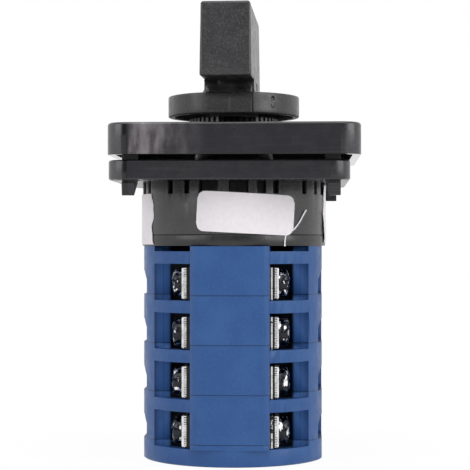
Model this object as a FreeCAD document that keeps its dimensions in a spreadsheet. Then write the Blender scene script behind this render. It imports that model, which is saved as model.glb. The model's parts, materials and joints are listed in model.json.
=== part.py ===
import FreeCAD, Part
import math
import os
import re

import Sketcher
from FreeCAD import Placement, Rotation, Vector

# Rotary cam switch: +Z up, millimetres, origin on the shaft's axis at the end cover's face.
# The knob's nose points to -Y. Stage 1 is the one under the detent housing.

STAGES = (1, 2, 3, 4)
SIDES = {"left": -1, "right": 1}
CORNERS = ((-1, -1), (1, -1), (1, 1), (-1, 1))
SHEET = "Dims"

# Driving dimensions
DIMENSIONS = {
    "overrun": 1.0, "root_depth": 0.5, "edge_break": 0.35,
    "outline_radius": 24.4, "side_flat": 23.6, "block_half": 10.2, "block_corner": 2.0,
    "cover_height": 5.7, "stage_pitch": 12.66, "relief_depth": 1.4, "floor_thickness": 3.2,
    "pocket_wall": 20.1, "head_recess": 15.9, "deep_back": 10.8, "shallow_back": 12.6,
    "bay_half_depth": 9.0, "bay_wall": 19.2, "cam_well": 10.0,
    "side_recess_depth": 1.2, "side_recess_front": 9.2, "side_recess_rear": 4.5,
    "side_recess_top": 6.2, "side_recess_corner": 2.4,
    "shaft_square": 6.0, "shaft_foot": 1.6, "shaft_end_gap": 0.5, "journal_radius": 3.4,
    "journal_clearance": 0.05, "journal_end_gap": 0.1, "square_clearance": 0.15,
    "cam_radius": 7.6, "cam_offset": 1.15, "cam_hub_radius": 5.6, "cam_hub_clearance": 0.4,
    "cam_side_clearance": 0.45, "cam_stack_clearance": 0.05,
    "screw_level": 3.05, "screw_depth": 16.5, "strip_thickness": 1.0, "strip_slot": 0.15,
    "strip_outer": 20.5, "strip_inner": 5.2, "strip_top": 7.1, "strip_tail": 1.25,
    "strip_neck_low": 0.5, "strip_neck_high": 5.6, "strip_neck_gap": 0.3,
    "tip_radius": 1.8, "tip_height": 0.8, "tip_place": 7.0, "moving_tip_radius": 1.6,
    "washer_side": 7.9, "washer_thickness": 1.25,
    "head_radius": 3.5, "head_height": 2.9, "cross_share": 0.6, "thread_radius": 1.95,
    "thread_length": 6.6, "thread_end_gap": 0.3, "thread_clearance": 0.05,
    "slot_width": 1.0, "slot_depth": 1.1,
    "contact_gap": 1.05, "bridge_thickness": 0.8, "bridge_half": 8.7, "bridge_height": 3.6,
    "bridge_corner": 0.6, "bridge_clearance": 0.1,
    "follower_clearance": 0.25, "carrier_half": 3.0, "carrier_low": 0.5, "carrier_high": 7.6,
    "carrier_end": 17.9, "window_wall": 1.1, "window_lead": 0.6, "spring_radius": 1.7,
    "spring_wire": 0.4, "spring_seat_depth": 2.2, "spring_clearance": 0.1, "carrier_travel": 1.0,
    "return_spring_radius": 2.1,
    "tie_place": 17.4, "tie_radius": 2.0, "tie_clearance": 0.2, "tie_head_radius": 3.6,
    "tie_head_height": 2.6, "tie_head_seat": 0.6, "tie_end": 1.5, "nut_flats": 7.0, "nut_height": 3.2,
    "base_height": 2.9, "housing_radius": 24.6, "housing_height": 13.76, "housing_wall": 2.2,
    "housing_top": 2.5, "collar_height": 3.2, "collar_notch": 1.6,
    "star_radius": 9.4, "star_notch_radius": 1.7, "star_notch_inset": 0.5, "star_height": 6.0,
    "star_lift": 0.5, "star_hub_radius": 5.2, "star_hub_clearance": 0.06,
    "plunger_side": 5.0, "plunger_length": 6.4, "plunger_nose": 1.4, "plunger_gap": 0.3,
    "detent_spring_radius": 2.2, "detent_spring_gap": 0.2,
    "plate_margin": 1.4, "plate_corner": 5.0, "plate_height": 5.0, "plate_bolt_inset": 6.6,
    "plate_bolt_radius": 2.2, "plate_bore": 8.0, "plate_screw_place": 13.4,
    "plate_screw_radius": 1.5, "plate_screw_head": 2.8, "plate_screw_head_height": 2.2,
    "plate_screw_sink": 0.1, "plate_screw_reach": 6.0, "plate_screw_boss": 3.2,
    "escutcheon_side": 64.0, "escutcheon_corner": 5.2, "escutcheon_gap": 1.3,
    "escutcheon_height": 8.1, "escutcheon_wall": 2.2, "escutcheon_shift": 1.3,
    "escutcheon_round": 0.8, "seat_ring_radius": 10.5, "seat_ring_wall": 2.0,
    "clip_across": 3.9, "clip_thickness": 1.5, "clip_inset_x": 5.0, "clip_inset_y": 2.8,
    "clip_shift": 0.6, "clip_reach": 3.9, "clip_barb": 0.9, "clip_barb_height": 3.2,
    "clip_taper": 0.9, "clip_clearance": 0.3,
    "rib_ring_radius": 12.0, "rib_ring_height": 2.9, "rib_count": 48, "rib_depth": 0.5,
    "knob_gap": 3.4, "disc_radius": 17.6, "disc_height": 5.5, "disc_flat": 16.5,
    "disc_rim": 1.6, "disc_hollow": 3.2, "knob_hub_radius": 6.6, "knob_hub_drop": 2.9,
    "grip_height": 22.4, "grip_front": 26.0, "grip_rear": 12.4, "grip_front_half": 6.7,
    "grip_rear_half": 5.7, "grip_draft": 0.9, "grip_top_drop": 0.9, "nose_underside": 3.3,
    "neck_front": 14.8, "neck_fillet": 1.6, "neck_bevel": 0.8, "grip_round": 1.2,
    "knob_play": 2.2, "knob_socket": 16.0, "knob_bore": 2.1, "knob_counterbore": 3.6,
    "knob_counterbore_depth": 3.0, "knob_screw_length": 12.0, "knob_screw_radius": 2.0,
    "knob_screw_end_gap": 0.4, "knob_screw_head": 3.3, "knob_screw_head_height": 2.4,
    "label_thickness": 0.12, "label_margin": 9.0, "front_label_width": 24.8,
    "front_label_height": 10.3, "front_label_corner": 2.0, "front_label_tilt": 3.0,
    "front_label_place": 4.0, "front_label_rise": 5.46, "side_label_span": 62.0,
    "left_label_from": 56.3, "left_label_drop": 3.0, "left_label_height": 13.3,
    "right_label_from": 76.2, "right_label_drop": 0.7, "right_label_height": 15.0,
}

# Sizes that follow from the driving dimensions
DERIVED = {
    "stack_top": f"cover_height + {len(STAGES)} * stage_pitch",
    "housing_low": "stack_top + base_height",
    "plate_low": "housing_low + housing_height",
    "plate_top": "plate_low + plate_height",
    "escutcheon_low": "plate_top + escutcheon_gap",
    "escutcheon_top": "escutcheon_low + escutcheon_height",
    "disc_low": "escutcheon_top + knob_gap",
    "disc_top": "disc_low + disc_height",
    "knob_top": "disc_top + grip_height",
    "shaft_top": "disc_low + knob_socket - shaft_end_gap",
    "chamber_height": "stage_pitch - relief_depth - floor_thickness",
    "beyond": "outline_radius + overrun",
    "strip_face": "block_half + strip_thickness",
    "strip_neck": "deep_back + strip_neck_gap",
    "washer_face": "strip_face + washer_thickness",
    "tip_face": "strip_face + tip_height",
    "bridge_tip_face": "tip_face + contact_gap",
    "bridge_face": "bridge_tip_face + tip_height",
    "bridge_back": "bridge_face + bridge_thickness",
    "follower_face": "cam_radius + follower_clearance",
    "carrier_middle": "(carrier_low + carrier_high) / 2",
    "window_end": "carrier_end - window_wall",
    "window_half": "bridge_height / 2 + bridge_clearance",
    "shaft_flat": "shaft_square / 2",
    "star_low": "housing_low + star_lift",
    "plunger_tip": "star_radius + plunger_gap",
    "plate_side": "escutcheon_side - 2 * plate_margin",
    "plate_bolt_half": "plate_side / 2 - plate_bolt_inset",
    "plate_screw_seat": "plate_top - plate_screw_head_height - plate_screw_sink",
    "clip_x": "plate_side / 2 - clip_inset_x",
    "clip_y": "plate_side / 2 - clip_inset_y",
    "clip_low": "plate_low - clip_reach",
    "knob_screw_seat": "knob_top - grip_top_drop - knob_counterbore_depth",
    "knob_screw_end": "shaft_top - knob_screw_length + knob_screw_end_gap",
    "front_label_level": "housing_low + front_label_rise",
    "left_label_low": "plate_low - left_label_drop - left_label_height",
    "right_label_low": "plate_low - right_label_drop - right_label_height",
}

# Notches in the housing's collar: angle from the front and width in degrees, in each quarter turn
COLLAR_NOTCHES = ((-39.2, 4.6), (-26.8, 4.2), (-12.8, 13.0), (5.6, 12.8), (19.4, 6.4), (28.7, 4.2))
# Share of a notch's width that is left at its foot
NOTCH_FOOT = 0.8

document = FreeCAD.newDocument("RotaryCamSwitch")
sheet = document.addObject("Spreadsheet::Sheet", SHEET)
for row, (alias, value) in enumerate(DIMENSIONS.items(), start=1):
    sheet.set(f"A{row}", alias)
    sheet.set(f"B{row}", str(value))
    sheet.setAlias(f"B{row}", alias)
document.recompute()


def formula(text):
    """Write a formula in the sheet's terms: derived names become sums of the sheet's cells."""
    def resolve(match):
        word = match.group(0)
        if word in DERIVED:
            return f"({formula(DERIVED[word])})"
        return f"{SHEET}.{word}" if word in DIMENSIONS else word
    return re.sub(r"[a-z_][a-z0-9_]*", resolve, str(text))


def size(text):
    """The present value of a formula."""
    return float(sheet.evalExpression(formula(text)))


def bind(thing, **properties):
    """Tie properties of an object to formulas; __ in a name stands for a dot."""
    for name, text in properties.items():
        thing.setExpression(name.replace("__", "."), formula(text))
    return thing


def move(thing, x="0", y="0", z="0"):
    """Tie an object's place to formulas."""
    for axis, text in (("x", x), ("y", y), ("z", z)):
        thing.setExpression(f"Placement.Base.{axis}", formula(text))
    return thing


# Sketches and features

def new_body(name):
    body = document.addObject("PartDesign::Body", name)
    body.Label = name
    return body


def origin_feature(body, role):
    return next(item for item in body.Origin.OriginFeatures if item.Role == role)


def new_sketch(body, name, plane="XY_Plane", offset="0"):
    sketch = body.newObject("Sketcher::SketchObject", name)
    sketch.AttachmentSupport = [(origin_feature(body, plane), "")]
    sketch.MapMode = "FlatFace"
    return bind(sketch, AttachmentOffset__Base__z=offset)


def place_point(sketch, geometry, point, x, y):
    """Hold a point at two formulas; None leaves that direction free."""
    for kind, axis, text in (("DistanceX", -2, x), ("DistanceY", -1, y)):
        if text is None:
            continue
        if text == "0":
            sketch.addConstraint(Sketcher.Constraint("PointOnObject", geometry, point, axis))
            continue
        index = sketch.addConstraint(Sketcher.Constraint(kind, -1, 1, geometry, point, size(text)))
        sketch.setExpression(f"Constraints[{index}]", formula(text))


def add_circle(sketch, radius, x="0", y="0"):
    centre = Vector(size(x), size(y), 0)
    circle = sketch.addGeometry(Part.Circle(centre, Vector(0, 0, 1), size(radius)), False)
    place_point(sketch, circle, 3, x, y)
    index = sketch.addConstraint(Sketcher.Constraint("Radius", circle, size(radius)))
    sketch.setExpression(f"Constraints[{index}]", formula(radius))


def add_polygon(sketch, points):
    """A closed outline of straight lines through points given as pairs of formulas."""
    corners = [Vector(size(x), size(y), 0) for x, y in points]
    ends = corners[1:] + corners[:1]
    lines = [sketch.addGeometry(Part.LineSegment(a, b), False) for a, b in zip(corners, ends)]
    for line, following in zip(lines, lines[1:] + lines[:1]):
        sketch.addConstraint(Sketcher.Constraint("Coincident", line, 2, following, 1))
    for line, (x, y) in zip(lines, points):
        place_point(sketch, line, 1, x, y)
    return lines


def add_rectangle(sketch, left, right, low, high):
    return add_polygon(sketch, ((left, low), (right, low), (right, high), (left, high)))


def add_rounded_rectangle(sketch, half_x, half_y, corner, x="0", y="0"):
    """Four lines joined by four quarter arcs about a centre."""
    radius = size(corner)
    centres = [
        (f"{x} + {sx} * ({half_x} - {corner})", f"{y} + {sy} * ({half_y} - {corner})")
        for sx, sy in CORNERS
    ]
    arcs = []
    for quarter, (cx, cy) in enumerate(centres):
        start = math.pi + quarter * math.pi / 2
        circle = Part.Circle(Vector(size(cx), size(cy), 0), Vector(0, 0, 1), radius)
        arc = sketch.addGeometry(Part.ArcOfCircle(circle, start, start + math.pi / 2), False)
        place_point(sketch, arc, 3, cx, cy)
        arcs.append(arc)
    index = sketch.addConstraint(Sketcher.Constraint("Radius", arcs[0], radius))
    sketch.setExpression(f"Constraints[{index}]", formula(corner))
    for quarter, arc in enumerate(arcs):
        following = arcs[(quarter + 1) % len(arcs)]
        start = sketch.getPoint(arc, 2)
        end = sketch.getPoint(following, 1)
        line = sketch.addGeometry(Part.LineSegment(start, end), False)
        sketch.addConstraint(Sketcher.Constraint("Tangent", arc, 2, line, 1))
        sketch.addConstraint(Sketcher.Constraint("Tangent", line, 2, following, 1))
        if quarter < len(arcs) - 1:
            sketch.addConstraint(Sketcher.Constraint("Equal", arc, following))


def add_flatted_circle(sketch, radius, flat):
    """A circle about the origin with two flats across X."""
    reach = size(radius)
    side = size(flat)
    angle = math.acos(side / reach)
    circle = Part.Circle(Vector(0, 0, 0), Vector(0, 0, 1), reach)
    front = sketch.addGeometry(Part.ArcOfCircle(circle, math.pi + angle, 2 * math.pi - angle), False)
    rear = sketch.addGeometry(Part.ArcOfCircle(circle, angle, math.pi - angle), False)
    for arc in (front, rear):
        sketch.addConstraint(Sketcher.Constraint("Coincident", arc, 3, -1, 1))
    index = sketch.addConstraint(Sketcher.Constraint("Radius", front, reach))
    sketch.setExpression(f"Constraints[{index}]", formula(radius))
    sketch.addConstraint(Sketcher.Constraint("Equal", front, rear))
    joins = ((front, rear, f"{flat}"), (rear, front, f"-({flat})"))
    for first, second, place in joins:
        start = sketch.getPoint(first, 2)
        end = sketch.getPoint(second, 1)
        line = sketch.addGeometry(Part.LineSegment(start, end), False)
        sketch.addConstraint(Sketcher.Constraint("Coincident", first, 2, line, 1))
        sketch.addConstraint(Sketcher.Constraint("Coincident", line, 2, second, 1))
        sketch.addConstraint(Sketcher.Constraint("Vertical", line))
        place_point(sketch, line, 1, place, None)


def pad(body, name, sketch, length, taper=None):
    feature = body.newObject("PartDesign::Pad", name)
    feature.Profile = sketch
    bind(feature, Length=length)
    if taper:
        bind(feature, TaperAngle=taper)
    body.Tip = feature
    return feature


def pocket(body, name, sketch, length):
    """Cut from the sketch towards its own normal."""
    feature = body.newObject("PartDesign::Pocket", name)
    feature.Profile = sketch
    feature.Reversed = True
    bind(feature, Length=length)
    body.Tip = feature
    return feature


def polar_pattern(body, name, originals, count):
    feature = body.newObject("PartDesign::PolarPattern", name)
    feature.Originals = originals
    feature.Axis = (origin_feature(body, "Z_Axis"), [""])
    feature.Angle = 360
    feature.Occurrences = count
    body.Tip = feature
    return feature


def edges_where(feature, test):
    """Names of a feature's edges whose middle point and direction pass a test."""
    found = []
    for number, edge in enumerate(feature.Shape.Edges, start=1):
        middle = edge.valueAt((edge.FirstParameter + edge.LastParameter) / 2)
        start, end = edge.valueAt(edge.FirstParameter), edge.valueAt(edge.LastParameter)
        if test(middle, end - start):
            found.append(f"Edge{number}")
    return found


def fillet(body, name, base, radius, test):
    document.recompute()
    feature = body.newObject("PartDesign::Fillet", name)
    feature.Base = (base, edges_where(base, test))
    bind(feature, Radius=radius)
    body.Tip = feature
    return feature


def chamfer(body, name, base, length, test):
    document.recompute()
    feature = body.newObject("PartDesign::Chamfer", name)
    feature.Base = (base, edges_where(base, test))
    bind(feature, Size=length)
    body.Tip = feature
    return feature


# Primitives, booleans and groups

def box(name, x, y, z, length, width, height):
    thing = document.addObject("Part::Box", name)
    bind(thing, Length=length, Width=width, Height=height)
    return move(thing, x, y, z)


def cylinder(name, radius, height, x="0", y="0", z="0", turn=None):
    thing = document.addObject("Part::Cylinder", name)
    bind(thing, Radius=radius, Height=height)
    if turn:
        thing.Placement = Placement(Vector(0, 0, 0), turn)
    return move(thing, x, y, z)


def fuse(name, *shapes):
    thing = document.addObject("Part::MultiFuse", name)
    thing.Shapes = list(shapes)
    return thing


def cut(name, base, *tools):
    thing = document.addObject("Part::Cut", name)
    thing.Base = base
    thing.Tool = tools[0] if len(tools) == 1 else fuse(f"{name}_tools", *tools)
    return thing


def group_of(name, pattern, placements):
    """One node of separate, equal solids: copies of a pattern piece at several places."""
    document.recompute()
    group = document.addObject("Part::Feature", name)
    group.Label = name
    group.Shape = Part.makeCompound([pattern.Shape.transformed(place.toMatrix()) for place in placements])
    return group


ALONG_X = Rotation(Vector(0, 1, 0), 90)
HALF = Rotation(Vector(0, 0, 1), 180)


def stage_low(number):
    return f"cover_height + {len(STAGES) - number} * stage_pitch"


def two_per_stage():
    """Places of a right-hand piece of level 0 on every stage: as it is, and turned half round."""
    places = []
    for number in STAGES:
        for turn in (Rotation(), HALF):
            places.append(Placement(Vector(0, 0, size(stage_low(number))), turn))
    return places


def terminal_group(name, front, rear):
    """Four terminals on each stage: a front right piece and a rear right piece, each turned half round."""
    document.recompute()
    shapes = [piece.Shape.transformed(place.toMatrix())
              for piece in (front, rear) for place in two_per_stage()]
    group = document.addObject("Part::Feature", name)
    group.Label = name
    group.Shape = Part.makeCompound(shapes)
    return group


# Blue mouldings

def pocket_outline(sketch, sx, sy):
    """Terminal pocket: deep beside the block, shallow behind the screw head, open to the outside."""
    points = (
        ("block_half", "deep_back"), ("head_recess", "deep_back"), ("head_recess", "shallow_back"),
        ("pocket_wall", "shallow_back"), ("pocket_wall", "beyond"), ("block_half", "beyond"),
    )
    add_polygon(sketch, [(f"{sx} * ({x})", f"{sy} * ({y})") for x, y in points])


def four_pockets(body, name, low, height):
    sketch = new_sketch(body, f"{name}_sketch", offset=low)
    for sx, sy in CORNERS:
        pocket_outline(sketch, sx, sy)
    return pocket(body, name, sketch, height)


def round_outline(body, height):
    """Round moulding with side flats."""
    outline = new_sketch(body, "outline")
    add_flatted_circle(outline, "outline_radius", "side_flat")
    return pad(body, "outline_pad", outline, height)


def contact_stage(number):
    name = f"contact_stage_{number}"
    body = new_body(name)
    round_outline(body, "stage_pitch")
    four_pockets(body, "terminal_pockets", "0", "chamber_height")
    four_pockets(body, "top_relief", "chamber_height + floor_thickness", "relief_depth")

    blocks = new_sketch(body, "blocks")
    add_rounded_rectangle(blocks, "block_half", "outline_radius", "block_corner")
    pad(body, "block_pad", blocks, "stage_pitch")

    well = new_sketch(body, "cam_well_sketch")
    add_circle(well, "cam_well")
    pocket(body, "cam_well_pocket", well, "chamber_height")

    bays = new_sketch(body, "contact_bays_sketch")
    add_rectangle(bays, "-bay_wall", "bay_wall", "-bay_half_depth", "bay_half_depth")
    pocket(body, "contact_bays", bays, "chamber_height")

    slots = new_sketch(body, "strip_slots_sketch")
    for sx, sy in CORNERS:
        across = ("block_half - strip_slot", "strip_face + strip_slot")
        along = ("bay_half_depth - overrun", "deep_back + overrun")
        add_rectangle(slots, *[f"{sx} * ({x})" for x in across], *[f"{sy} * ({y})" for y in along])
    pocket(body, "strip_slots", slots, "strip_neck_high + strip_slot")

    bore = new_sketch(body, "bore_sketch")
    add_circle(bore, "cam_hub_radius + cam_hub_clearance")
    pocket(body, "bore", bore, "stage_pitch")

    ties = new_sketch(body, "tie_holes_sketch")
    for sign in (-1, 1):
        add_circle(ties, "tie_radius + tie_clearance", y=f"{sign} * tie_place")
    pocket(body, "tie_holes", ties, "stage_pitch")

    depth = "(thread_length + thread_end_gap - washer_thickness - strip_thickness)"
    for label, offset in (("left", "-block_half"), ("right", f"block_half - {depth}")):
        threads = new_sketch(body, f"{label}_holes_sketch", plane="YZ_Plane", offset=offset)
        for sign in (-1, 1):
            add_circle(threads, "thread_radius + tie_clearance", x=f"{sign} * screw_depth", y="screw_level")
        pocket(body, f"{label}_screw_holes", threads, depth)

    spring_seats(body)
    side_recesses(body)
    return move(body, z=stage_low(number))


def spring_seats(body):
    """Blind holes in the side walls for the return springs."""
    for label, offset in (("left", "-bay_wall - spring_seat_depth"), ("right", "bay_wall - overrun")):
        sketch = new_sketch(body, f"{label}_seat_sketch", plane="YZ_Plane", offset=offset)
        add_circle(sketch, "return_spring_radius + spring_clearance", y="carrier_middle")
        pocket(body, f"{label}_spring_seat", sketch, "spring_seat_depth + overrun")


def side_recesses(body):
    """Shallow recess low on each side face, its upper corners cut at a slope."""
    shoulder = "side_recess_top - side_recess_corner"
    points = (
        ("-side_recess_front", "-overrun"), ("side_recess_rear", "-overrun"),
        ("side_recess_rear", shoulder), ("side_recess_rear - side_recess_corner", "side_recess_top"),
        ("side_recess_corner - side_recess_front", "side_recess_top"), ("-side_recess_front", shoulder),
    )
    for label, offset in (("left", "-side_flat - overrun"), ("right", "side_flat - side_recess_depth")):
        sketch = new_sketch(body, f"{label}_recess_sketch", plane="YZ_Plane", offset=offset)
        add_polygon(sketch, points)
        pocket(body, f"{label}_recess", sketch, "side_recess_depth + overrun")


def end_cover():
    body = new_body("end_cover")
    round_outline(body, "cover_height")
    four_pockets(body, "top_relief", "cover_height - relief_depth", "relief_depth")

    blocks = new_sketch(body, "blocks", offset="cover_height - relief_depth")
    add_rounded_rectangle(blocks, "block_half", "outline_radius", "block_corner")
    pad(body, "block_pad", blocks, "relief_depth")

    bearing = new_sketch(body, "bearing_sketch", offset="shaft_foot - journal_end_gap")
    add_circle(bearing, "journal_radius + journal_clearance")
    pocket(body, "bearing", bearing, "cover_height")

    ties = new_sketch(body, "tie_holes_sketch")
    seats = new_sketch(body, "tie_seats_sketch")
    for sign in (-1, 1):
        add_circle(ties, "tie_radius + tie_clearance", y=f"{sign} * tie_place")
        add_circle(seats, "tie_head_radius + tie_clearance", y=f"{sign} * tie_place")
    pocket(body, "tie_holes", ties, "cover_height")
    seat = pocket(body, "tie_seats", seats, "tie_head_seat + tie_head_height")

    def bottom_rim(middle, span):
        return abs(middle.z) < 0.01 and middle.x ** 2 + middle.y ** 2 > size("pocket_wall") ** 2
    chamfer(body, "foot_edge", seat, "edge_break", bottom_rim)
    return body


# Metal of the terminals

def terminal_screws():
    """Cheese-head screws with a cross slot, lying along X with their heads outward."""
    pieces = []
    for label, sign in (("front", -1), ("rear", 1)):
        depth = f"{sign} * screw_depth"
        head = cylinder(f"screw_head_{label}", "head_radius", "head_height",
                        "washer_face", depth, "screw_level", ALONG_X)
        shank = cylinder(f"screw_shank_{label}", "thread_radius", "thread_length + root_depth",
                         "washer_face - thread_length", depth, "screw_level", ALONG_X)
        whole = fuse(f"screw_{label}", head, shank)
        face = "washer_face + head_height - slot_depth"
        upright = box(f"screw_slot_{label}", face, f"{depth} - slot_width / 2", "screw_level - head_radius",
                      "slot_depth + overrun", "slot_width", "2 * head_radius")
        level = box(f"screw_cross_{label}", face, f"{depth} - head_radius * cross_share",
                    "screw_level - slot_width / 2", "slot_depth + overrun", "2 * head_radius * cross_share",
                    "slot_width")
        pieces.append(cut(f"screw_slotted_{label}", whole, upright, level))
    return terminal_group("terminal_screws", *pieces)


def clamp_washers():
    """Square washers between the screw heads and the fixed contacts."""
    pieces = []
    for label, sign in (("front", -1), ("rear", 1)):
        depth = f"{sign} * screw_depth"
        plate = box(f"washer_plate_{label}", "strip_face", f"{depth} - washer_side / 2",
                    "screw_level - washer_side / 2", "washer_thickness", "washer_side", "washer_side")
        hole = cylinder(f"washer_hole_{label}", "thread_radius + thread_clearance",
                        "washer_thickness + 2 * overrun", "strip_face - overrun", depth, "screw_level",
                        ALONG_X)
        pieces.append(cut(f"washer_{label}", plate, hole))
    return terminal_group("clamp_washers", *pieces)


def fixed_contact_body(label, sign):
    """Strip from the terminal screw into the bay, with a round contact tip at its inner end."""
    body = new_body(f"fixed_contact_{label}")
    strip = new_sketch(body, "strip_sketch", plane="YZ_Plane", offset="block_half")
    points = (
        ("strip_inner", "strip_neck_low"), ("strip_neck", "strip_neck_low"), ("strip_neck", "-strip_tail"),
        ("strip_outer", "-strip_tail"), ("strip_outer", "strip_top"), ("strip_neck", "strip_top"),
        ("strip_neck", "strip_neck_high"), ("strip_inner", "strip_neck_high"),
    )
    add_polygon(strip, [(f"{sign} * ({y})", z) for y, z in points])
    pad(body, "strip", strip, "strip_thickness")
    tip = new_sketch(body, "tip_sketch", plane="YZ_Plane", offset="strip_face")
    add_circle(tip, "tip_radius", x=f"{sign} * tip_place", y="screw_level")
    pad(body, "tip", tip, "tip_height")
    hole = new_sketch(body, "hole_sketch", plane="YZ_Plane", offset="block_half - overrun")
    add_circle(hole, "thread_radius + thread_clearance", x=f"{sign} * screw_depth", y="screw_level")
    pocket(body, "hole", hole, "strip_thickness + 2 * overrun")
    return body


def fixed_contacts():
    return terminal_group("fixed_contacts", fixed_contact_body("front", -1), fixed_contact_body("rear", 1))


# Moving contacts, modelled on the right-hand side and turned half round for the left

def on_side(thing, side, number):
    """Stand a right-hand piece at its stage, turned half round for the left side."""
    if SIDES[side] < 0:
        thing.Placement = Placement(Vector(0, 0, 0), HALF)
    move(thing, z=stage_low(number))
    return thing


def contact_carrier(side, number):
    body = new_body(f"contact_carrier_{side}_{number}")
    block = new_sketch(body, "block_sketch", offset="carrier_low")
    add_rectangle(block, "follower_face", "carrier_end", "-carrier_half", "carrier_half")
    pad(body, "block", block, "carrier_high - carrier_low")
    window = new_sketch(body, "window_sketch", plane="XZ_Plane", offset="-carrier_half - overrun")
    add_rectangle(window, "tip_face - window_lead", "window_end", "screw_level - window_half",
                  "screw_level + window_half")
    pocket(body, "window", window, "2 * (carrier_half + overrun)")
    return on_side(body, side, number)


def contact_bridge(side, number):
    """Strip across the bay with a contact tip facing each fixed tip."""
    body = new_body(f"contact_bridge_{side}_{number}")
    strip = new_sketch(body, "strip_sketch", plane="YZ_Plane", offset="bridge_face")
    add_rounded_rectangle(strip, "bridge_half", "bridge_height / 2", "bridge_corner", y="screw_level")
    pad(body, "strip", strip, "bridge_thickness")
    tips = new_sketch(body, "tips_sketch", plane="YZ_Plane", offset="bridge_tip_face")
    for sign in (-1, 1):
        add_circle(tips, "moving_tip_radius", x=f"{sign} * tip_place", y="screw_level")
    pad(body, "tips", tips, "tip_height")
    return on_side(body, side, number)


def tube_along_x(name, radius, wire, start, end, level):
    length = f"({end}) - ({start})"
    outer = cylinder(f"{name}_outer", radius, length, start, "0", level, ALONG_X)
    inner = cylinder(f"{name}_inner", f"{radius} - {wire}", f"{length} + 2 * overrun",
                     f"({start}) - overrun", "0", level, ALONG_X)
    return cut(name, outer, inner)


def contact_spring(side, number):
    """Sleeve of the small coil spring that presses the bridge in its carrier."""
    name = f"contact_spring_{side}_{number}"
    tube = tube_along_x(name, "spring_radius", "spring_wire", "bridge_back", "window_end", "screw_level")
    tube.Label = name
    return on_side(tube, side, number)


def return_springs():
    """Sleeves of the springs between each carrier and the stage's side wall."""
    tube = tube_along_x("return_spring", "return_spring_radius", "spring_wire",
                        "carrier_end + carrier_travel + spring_clearance",
                        "bay_wall + spring_seat_depth", "carrier_middle")
    return group_of("return_springs", tube, two_per_stage())


# Shaft, cams and detent

def square_socket(body, low, height):
    sketch = new_sketch(body, "socket_sketch", offset=low)
    half = "shaft_flat + square_clearance"
    add_rectangle(sketch, f"-({half})", half, f"-({half})", half)
    return pocket(body, "socket", sketch, height)


def shaft():
    body = new_body("shaft")
    foot = new_sketch(body, "journal_sketch", offset="shaft_foot")
    add_circle(foot, "journal_radius")
    pad(body, "journal", foot, "cover_height - shaft_foot")
    square = new_sketch(body, "square_sketch", offset="cover_height")
    add_rectangle(square, "-shaft_flat", "shaft_flat", "-shaft_flat", "shaft_flat")
    stem = pad(body, "square", square, "shaft_top - cover_height")

    def top_edges(middle, span):
        return abs(middle.z - size("shaft_top")) < 0.01
    chamfer(body, "lead_in", stem, "edge_break", top_edges)
    hole = new_sketch(body, "thread_sketch", offset="shaft_top - knob_screw_length")
    add_circle(hole, "knob_screw_radius + thread_clearance")
    pocket(body, "thread", hole, "knob_screw_length + overrun")
    return body


def cam(number):
    """Eccentric disc that drives both carriers of a stage, with a hub through the stage's floor."""
    body = new_body(f"cam_{number}")
    disc = new_sketch(body, "disc_sketch", offset="cam_side_clearance")
    add_circle(disc, "cam_radius", y="-cam_offset")
    pad(body, "disc", disc, "chamber_height - 2 * cam_side_clearance")
    hub = new_sketch(body, "hub_sketch", offset="cam_side_clearance")
    add_circle(hub, "cam_hub_radius")
    pad(body, "hub", hub, "stage_pitch - cam_stack_clearance")
    square_socket(body, "0", "stage_pitch + overrun")
    return move(body, z=stage_low(number))


def star_wheel():
    """Six-notch detent wheel with a round hub that runs in the housing's roof."""
    body = new_body("star_wheel")
    disc = new_sketch(body, "disc_sketch")
    add_circle(disc, "star_radius")
    pad(body, "disc", disc, "star_height")
    notch = new_sketch(body, "notch_sketch", offset="-overrun")
    add_circle(notch, "star_notch_radius", x="star_radius + star_notch_inset")
    first = pocket(body, "notch", notch, "star_height + 2 * overrun")
    polar_pattern(body, "notches", [first], 6)
    hub = new_sketch(body, "hub_sketch")
    add_circle(hub, "star_hub_radius")
    pad(body, "hub", hub, "plate_low - star_low")
    square_socket(body, "-overrun", "plate_low - star_low + 2 * overrun")
    return move(body, z="star_low")


def detent_plungers():
    """Two square plungers with round noses that lie in line across the star wheel."""
    level = "housing_low + plunger_gap"
    block = box("plunger_block", "plunger_tip + plunger_nose", "-plunger_side / 2", level,
                "plunger_length - plunger_nose", "plunger_side", "plunger_side")
    nose = cylinder("plunger_nose_round", "plunger_nose", "plunger_side", "plunger_tip + plunger_nose",
                    "0", level)
    plunger = fuse("plunger", block, nose)
    return group_of("detent_plungers", plunger, (Placement(), Placement(Vector(0, 0, 0), HALF)))


def detent_springs():
    """Sleeves of the coil springs between the plungers and the housing's wall."""
    level = "housing_low + plunger_gap + plunger_side / 2"
    tube = tube_along_x("detent_spring", "detent_spring_radius", "spring_wire",
                        "plunger_tip + plunger_length", "housing_radius - housing_wall - detent_spring_gap",
                        level)
    return group_of("detent_springs", tube, (Placement(), Placement(Vector(0, 0, 0), HALF)))


# Black housing and plates

def detent_base():
    body = new_body("detent_base")
    disc = new_sketch(body, "disc_sketch", offset="stack_top")
    add_circle(disc, "housing_radius")
    pad(body, "disc", disc, "base_height")
    holes = new_sketch(body, "holes_sketch", offset="stack_top")
    add_circle(holes, "cam_hub_radius + cam_hub_clearance")
    for sign in (-1, 1):
        add_circle(holes, "tie_radius + tie_clearance", y=f"{sign} * tie_place")
    pocket(body, "holes", holes, "base_height")
    return body


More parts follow.
